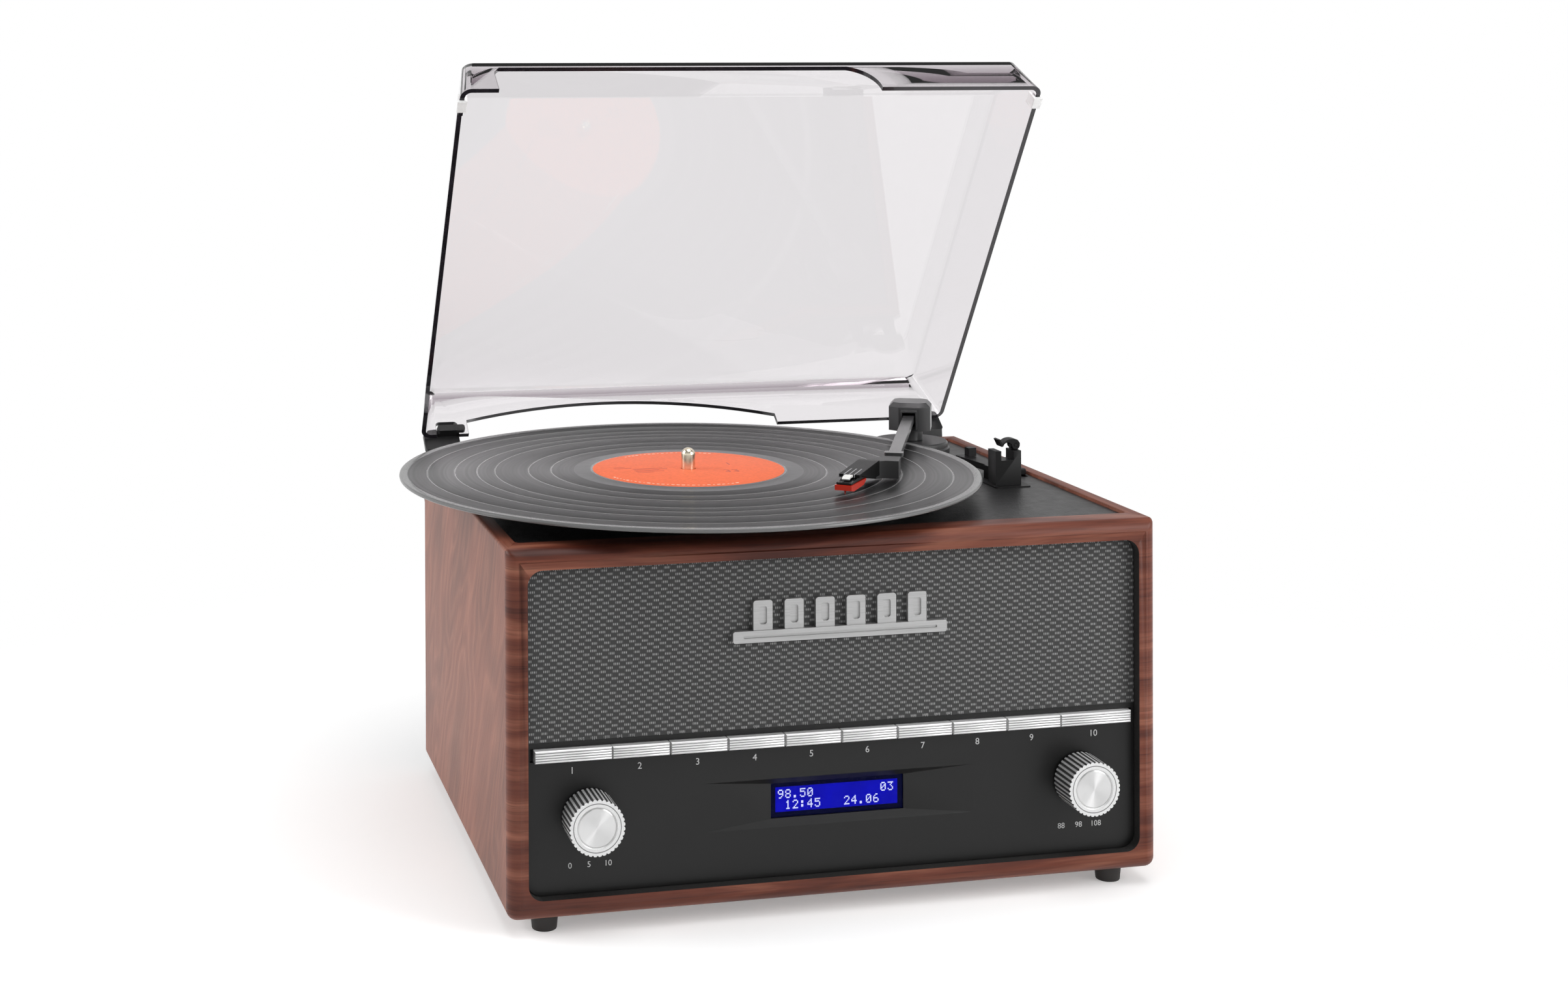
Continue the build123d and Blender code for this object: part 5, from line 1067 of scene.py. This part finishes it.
class RecordOperator(bpy.types.Operator):
    """Twelve-inch record with its tracks, run-out and plain orange label"""
    bl_idname = "music_centre.record"
    bl_label = "Record"

    def execute(self, context):
        gap = context.scene.music_centre.record.gap_width
        low, high = box("record")
        radius = (high.x - low.x) / 2
        axis = Vector(((low.x + high.x) / 2, (low.y + high.y) / 2, 0))
        groove_drop, gap_drop = 0.3 * MM, 0.05 * MM
        groove_z = high.z - groove_drop
        gap_z = groove_z - gap_drop
        label_bed, run_out_start, run_out_end = 51.2 * MM, 52.0 * MM, 60.0 * MM
        lead_in, rim_start, rim_shoulder, rim_side = 4.3 * MM, 3.5 * MM, 0.6 * MM, 0.15 * MM
        shoulder_drop, side_drop = 0.05 * MM, 0.35 * MM
        gap_radii = [71.8, 83.6, 101.1, 110.5, 122.0, 136.3]  # millimetres, to the middle of each gap
        grooved, blank, run_out = 0, 1, 2
        profile = [
            (HOLE_R, low.z, blank), (HOLE_R, high.z, blank), (label_bed, high.z, run_out),
            (run_out_start, groove_z, run_out), (run_out_end, groove_z, grooved),
        ]
        for gap_radius in gap_radii:
            ring = gap_radius * MM
            profile += [(ring - gap / 2, groove_z, blank), (ring - gap / 4, gap_z, blank),
                        (ring + gap / 4, gap_z, blank), (ring + gap / 2, groove_z, grooved)]
        profile += [
            (radius - lead_in, groove_z, blank), (radius - rim_start, high.z, blank),
            (radius - rim_shoulder, high.z - shoulder_drop, blank),
            (radius - rim_side, high.z - side_drop, blank), (radius, (low.z + high.z) / 2, blank),
            (radius - rim_side, low.z + side_drop, blank), (radius - rim_shoulder, low.z, blank),
        ]
        # the blank and run-out vinyl are painted grey, a painted sheen; the real vinyl is black throughout
        finishes = [pressed_vinyl(), smooth_vinyl("blank_vinyl_painted_sheen", "#6a6a6a", 0.2),
                    smooth_vinyl("run_out_vinyl_painted_sheen", "#4a4a4b", 0.3)]
        add_piece("record_pressed", turned(profile, axis, along=2, segments=256), "platter",
                  finishes, ["record"], smooth=24.0)
        self.label(axis)
        return {"FINISHED"}

    def label(self, axis):
        """Paper label with plain numbers, thin rules and two arcs of dashes."""
        low, high = box("record_label")
        radius = (high.x - low.x) / 2
        edge_in, edge_down = 0.3 * MM, 0.12 * MM
        profile = [(HOLE_R, low.z, 0), (HOLE_R, high.z, 0), (radius - edge_in, high.z, 0),
                   (radius, high.z - edge_down, 0), (radius, low.z, 0)]
        add_piece("label_printed", turned(profile, axis, along=2, segments=160), "platter",
                  [label_paper()], ["record_label"])
        top = high.z
        film = 0.03 * MM
        half_long, half_wide = 0.9 * MM, 0.45 * MM
        dash = block(bmesh.new(), (-half_long, -half_wide, 0), (half_long, half_wide, film))
        dash_ring, dash_step = 46.3 * MM, 3.2
        places = []
        for start, end in ((200, 290), (60, 125)):
            for step in range(int((end - start) / dash_step)):
                turn = radians(start + dash_step * step)
                spot = axis + Vector((dash_ring * cos(turn), dash_ring * sin(turn), top))
                places.append((spot, (0, 0, turn + pi / 2)))
        cream = ink("cream_ink", "#f3e3cf")
        add_piece("label_dashes", repeated("label_dashes", dash, places, cream, 0.5), "platter",
                  [cream])
        brown = ink("brown_ink", "#b4412a")
        rules = bmesh.new()
        first_y, rule_pitch, rule_wide = 9.0, 2.6, 0.8 * MM
        # in millimetres from the record's axis, from the highest rule down
        start_and_length = ((-38, 6), (-38, 9), (-29, 16), (-29, 18), (-29, 13), (-29, 15), (-29, 9))
        for i, (start, length) in enumerate(start_and_length):
            y = (first_y - rule_pitch * i) * MM
            block(rules, (start * MM, y, top), ((start + length) * MM, y + rule_wide, top + film),
                  Matrix.Translation(axis))
        number_height = 9 * MM
        speed_spot, side_spot = Vector((20 * MM, -12 * MM, top)), Vector((24 * MM, 8 * MM, top))
        numbers = lettered([("33", number_height, Matrix.Translation(axis + speed_spot)),
                            ("1", number_height, Matrix.Translation(axis + side_spot))], film)
        data = bpy.data.meshes.new("numbers")
        numbers.to_mesh(data)
        numbers.free()
        rules.from_mesh(data)
        bpy.data.meshes.remove(data)
        add_piece("label_rules", rules, "platter", [brown])


class TonearmOperator(bpy.types.Operator):
    """Tonearm with its housing, headshell and stylus"""
    bl_idname = "music_centre.tonearm"
    bl_label = "Tonearm"

    def execute(self, context):
        grey_abs = moulded("graphite_abs", "#39393a", 0.3, grain=0.4, depth=0.012)
        black = moulded("black_abs", "#161617", 0.4)
        gloss = moulded("glossy_black_abs", "#0c0c0d", 0.24, grain=0.5, depth=0.01, level=0.35)
        dress("tonearm_base", moulded("base_abs", "#2a2a2b", 0.4), bevel=0.3)
        dress("arm_housing", grey_abs, bevel=0.35)
        paint("arm_pin", steel())
        polished = moulded("polished_graphite_abs", "#39393a", 0.2, grain=0.4, depth=0.006, level=0.7)
        dress("arm_tube", polished, bevel=1.1)
        dress("arm_coupling", black, bevel=0.3)
        dress("headshell", lined_shell(), bevel=0.25)
        dress("finger_lift", moulded("white_abs", "#e9e9e6", 0.35), bevel=0.2)
        dress("cartridge", gloss, bevel=0.2)
        dress("stylus", moulded("red_translucent_abs", "#c92c16", 0.25, grain=0.6, depth=0.008), bevel=0.2)
        return {"FINISHED"}


class ArmRestOperator(bpy.types.Operator):
    """Arm rest with its hook, the cue lever and the two slide switches"""
    bl_idname = "music_centre.arm_rest"
    bl_label = "Arm rest and levers"

    def execute(self, context):
        black = moulded("dense_black_abs", "#0a0a0b", 0.42, level=0.22)
        for node, bevel in (("arm_rest", 0.3), ("rest_hook", 0.25), ("cue_lever", 0.4), ("speed_knob", 0.3),
                            ("autostop_knob", 0.3)):
            dress(node, black, bevel)
        return {"FINISHED"}


class LidOperator(bpy.types.Operator):
    """Clear lid with its cut edges painted dark as painted shade, bumpers and hinges"""
    bl_idname = "music_centre.lid"
    bl_label = "Lid"

    def execute(self, context):
        add_piece("lid_clear", copy_of("lid_shell", self.side_or_edge), "lid",
                  [smoked_acrylic(), acrylic_rim()], ["lid_shell"])
        dress("lid_bumpers", moulded("white_pvc", "#f0f0ee", 0.4), bevel=0.3)
        hinge = moulded("hinge_nylon", "#121213", 0.45)
        dress("lid_arms", hinge, bevel=0.3)
        dress("hinge_bases", hinge, bevel=0.3)
        return {"FINISHED"}

    def side_or_edge(self, face, tree):
        """1 for a face on the sheet's edge, behind which lies far more than the sheet's thickness."""
        wall, start_depth = 2.5 * MM, 0.05 * MM
        hit = tree.ray_cast(face.calc_center_median() - face.normal * start_depth, -face.normal)
        return int(hit[0] is not None and hit[3] > 1.7 * wall)


class InsideOperator(bpy.types.Operator):
    """Works inside the cabinet"""
    bl_idname = "music_centre.inside"
    bl_label = "Inside"

    def execute(self, context):
        board = moulded("solder_mask", "#0f3d22", 0.3)
        finishes = {
            "display_module": board, "control_board": board, "main_board": board,
            "speaker_baffle": fibreboard(), "speaker_left": steel(), "speaker_right": steel(),
            "volume_encoder": steel(), "tune_encoder": steel(), "tune_shaft": steel(), "motor": steel(),
            "transformer": steel("laminated_iron", "#6d5f55", 0.5),
        }
        for node, material in finishes.items():
            paint(node, material)
        return {"FINISHED"}


# ---------------------------------------------------------------- stage
class StageOperator(bpy.types.Operator):
    """Pale floor, soft lamps and the camera at the photograph's angle"""
    bl_idname = "music_centre.stage"
    bl_label = "Stage"

    def execute(self, context):
        stage = context.scene.music_centre.stage
        foot_low, _ = box("feet")
        half = stage.floor_size / 2
        floor_mesh = bmesh.new()
        bmesh.ops.create_grid(floor_mesh, x_segments=1, y_segments=1, size=half)
        data = bpy.data.meshes.new("floor")
        floor_mesh.to_mesh(data)
        floor_mesh.free()
        data.transform(Matrix.Translation((0, 0, foot_low.z)))
        floor = bpy.data.objects.new("floor", data)
        context.scene.collection.objects.link(floor)
        data.materials.append(self.floor_finish())
        self.lamp("key_softbox", (-2.0, 0.55, 1.2), 1.4, stage.key_power)
        self.lamp("fill_softbox", (0.95, -0.85, 0.65), 0.7, stage.fill_power)
        self.lamp("top_softbox", (0.1, -0.45, 1.9), 1.4, stage.top_power)
        self.world(context)
        self.camera(context)
        context.scene.view_settings.view_transform = "Standard"
        return {"FINISHED"}

    def floor_finish(self):
        """White paper sweep. Round the object it shows its shadows, with a little light of its own. Further
        out it is pure white, as the camera, gloss and the lid see it. Other rays meet plain lit paper."""
        shadow_reach, white_reach, own_light = 0.30, 0.62, 0.3
        material, tree, surface, place = new_finish("white_paper_sweep", {
            "Base Color": linear("#f4f4f4"), "Roughness": 0.8, "Specular IOR Level": 0.1})
        rays = add_node(tree, "ShaderNodeLightPath")
        seen = add_node(tree, "ShaderNodeMath", {
            0: rays.outputs["Is Camera Ray"], 1: rays.outputs["Is Glossy Ray"]}, operation="MAXIMUM")
        any_way = add_node(tree, "ShaderNodeMath", {
            0: seen.outputs[0], 1: rays.outputs["Is Transmission Ray"]}, operation="MAXIMUM")
        away = add_node(tree, "ShaderNodeVectorMath", {0: place}, operation="LENGTH")
        far = add_node(tree, "ShaderNodeMapRange", {
            "Value": away.outputs["Value"], "From Min": shadow_reach, "From Max": white_reach},
            interpolation_type="SMOOTHSTEP")
        lift = add_node(tree, "ShaderNodeEmission", {"Color": grey(1.0), "Strength": own_light})
        near = add_node(tree, "ShaderNodeAddShader", {
            0: surface.outputs["BSDF"], 1: lift.outputs["Emission"]})
        white = add_node(tree, "ShaderNodeEmission", {"Color": grey(1.0), "Strength": 1.0})
        shown = add_node(tree, "ShaderNodeMixShader", {
            "Fac": far.outputs["Result"], 1: near.outputs["Shader"], 2: white.outputs["Emission"]})
        either = add_node(tree, "ShaderNodeMixShader", {
            "Fac": any_way.outputs[0], 1: surface.outputs["BSDF"], 2: shown.outputs["Shader"]})
        output = next(node for node in tree.nodes if node.type == "OUTPUT_MATERIAL")
        tree.links.new(either.outputs["Shader"], output.inputs["Surface"])
        return material

    def lamp(self, name, place, size, power):
        """Square softbox that faces the middle of the object."""
        middle = Vector((0, 0, 0.15))
        data = bpy.data.lights.new(name, "AREA")
        data.size = size
        data.energy = power
        lamp = bpy.data.objects.new(name, data)
        lamp.location = place
        aim = middle - Vector(place)
        lamp.rotation_euler = aim.to_track_quat("-Z", "Y").to_euler()
        bpy.context.scene.collection.objects.link(lamp)

    def world(self, context):
        """Even studio light, and plain white where the background itself is seen. What gloss mirrors is
        white at eye level and darker overhead."""
        studio_light, sky_foot, sky_head, overhead_light = 0.25, 0.12, 0.65, 0.3
        world = bpy.data.worlds.new("studio")
        context.scene.world = world
        world.use_nodes = True
        tree = world.node_tree
        tree.nodes.clear()
        rays = add_node(tree, "ShaderNodeLightPath")
        seen = add_node(tree, "ShaderNodeMath", {
            0: rays.outputs["Is Camera Ray"], 1: rays.outputs["Is Transmission Ray"]}, operation="MAXIMUM")
        toward = add_node(tree, "ShaderNodeSeparateXYZ", {
            "Vector": add_node(tree, "ShaderNodeTexCoord").outputs["Generated"]})
        overhead = add_node(tree, "ShaderNodeMapRange", {
            "Value": toward.outputs["Z"], "From Min": sky_foot, "From Max": sky_head,
            "To Min": 1.0, "To Max": overhead_light})
        lighting = add_node(tree, "ShaderNodeBackground", {"Color": grey(1.0), "Strength": studio_light})
        mirrored = add_node(tree, "ShaderNodeBackground", {
            "Color": grey(1.0), "Strength": overhead.outputs["Result"]})
        white = add_node(tree, "ShaderNodeBackground", {"Color": grey(1.0), "Strength": 1.0})
        lit = add_node(tree, "ShaderNodeMixShader", {
            "Fac": rays.outputs["Is Glossy Ray"], 1: lighting.outputs["Background"],
            2: mirrored.outputs["Background"]})
        either = add_node(tree, "ShaderNodeMixShader", {
            "Fac": seen.outputs[0], 1: lit.outputs["Shader"], 2: white.outputs["Background"]})
        add_node(tree, "ShaderNodeOutputWorld", {"Surface": either.outputs["Shader"]})

    def camera(self, context):
        """The photograph's own viewpoint, worked out from the cabinet's edges and the record."""
        yaw, pitch, roll = radians(11.92), radians(-0.32), radians(-0.23)
        stand = Vector((-0.3427, -1.0778, 0.3845))
        forward = Vector((sin(yaw) * cos(pitch), cos(yaw) * cos(pitch), sin(pitch)))
        right = Vector((cos(yaw), -sin(yaw), 0))
        up = right.cross(forward)
        level_right = right
        right = level_right * cos(roll) + up * sin(roll)
        up = up * cos(roll) - level_right * sin(roll)
        data = bpy.data.cameras.new("camera")
        data.sensor_width = 36.0
        data.lens = 49.15
        data.shift_x = 0.1515
        data.shift_y = -0.2566
        data.clip_end = 30.0
        camera = bpy.data.objects.new("camera", data)
        turn = Matrix((right, up, -forward)).transposed().to_4x4()
        camera.matrix_world = Matrix.Translation(stand) @ turn
        context.scene.collection.objects.link(camera)
        context.scene.camera = camera


class MusicCentrePanel(bpy.types.Panel):
    """Buttons that build the music centre"""
    bl_idname = "VIEW3D_PT_music_centre"
    bl_label = "Music centre"
    bl_space_type = "VIEW_3D"
    bl_region_type = "UI"
    bl_category = "Music centre"

    def draw(self, context):
        for operator in OPERATORS:
            self.layout.operator(operator.bl_idname)


GROUPS = (CabinetSettings, FrontSettings, RecordSettings, LidSettings, StageSettings, MusicCentreSettings)
OPERATORS = (
    StageOperator, CabinetOperator, BackOperator, GrilleOperator, PanelOperator, DisplayOperator,
    ControlsOperator, DeckOperator, RecordOperator, TonearmOperator, ArmRestOperator, LidOperator,
    InsideOperator,
)


def register():
    """Register the settings, operators and panel."""
    for group in GROUPS + OPERATORS + (MusicCentrePanel,):
        bpy.utils.register_class(group)
    bpy.types.Scene.music_centre = PointerProperty(type=MusicCentreSettings)


def unregister():
    """Take the settings, operators and panel out again."""
    del bpy.types.Scene.music_centre
    for group in reversed(GROUPS + OPERATORS + (MusicCentrePanel,)):
        bpy.utils.unregister_class(group)


def main():
    """Build every piece."""
    register()
    for operator in OPERATORS:
        group, name = operator.bl_idname.split(".")
        getattr(getattr(bpy.ops, group), name)()


if __name__ == "__main__":
    main()
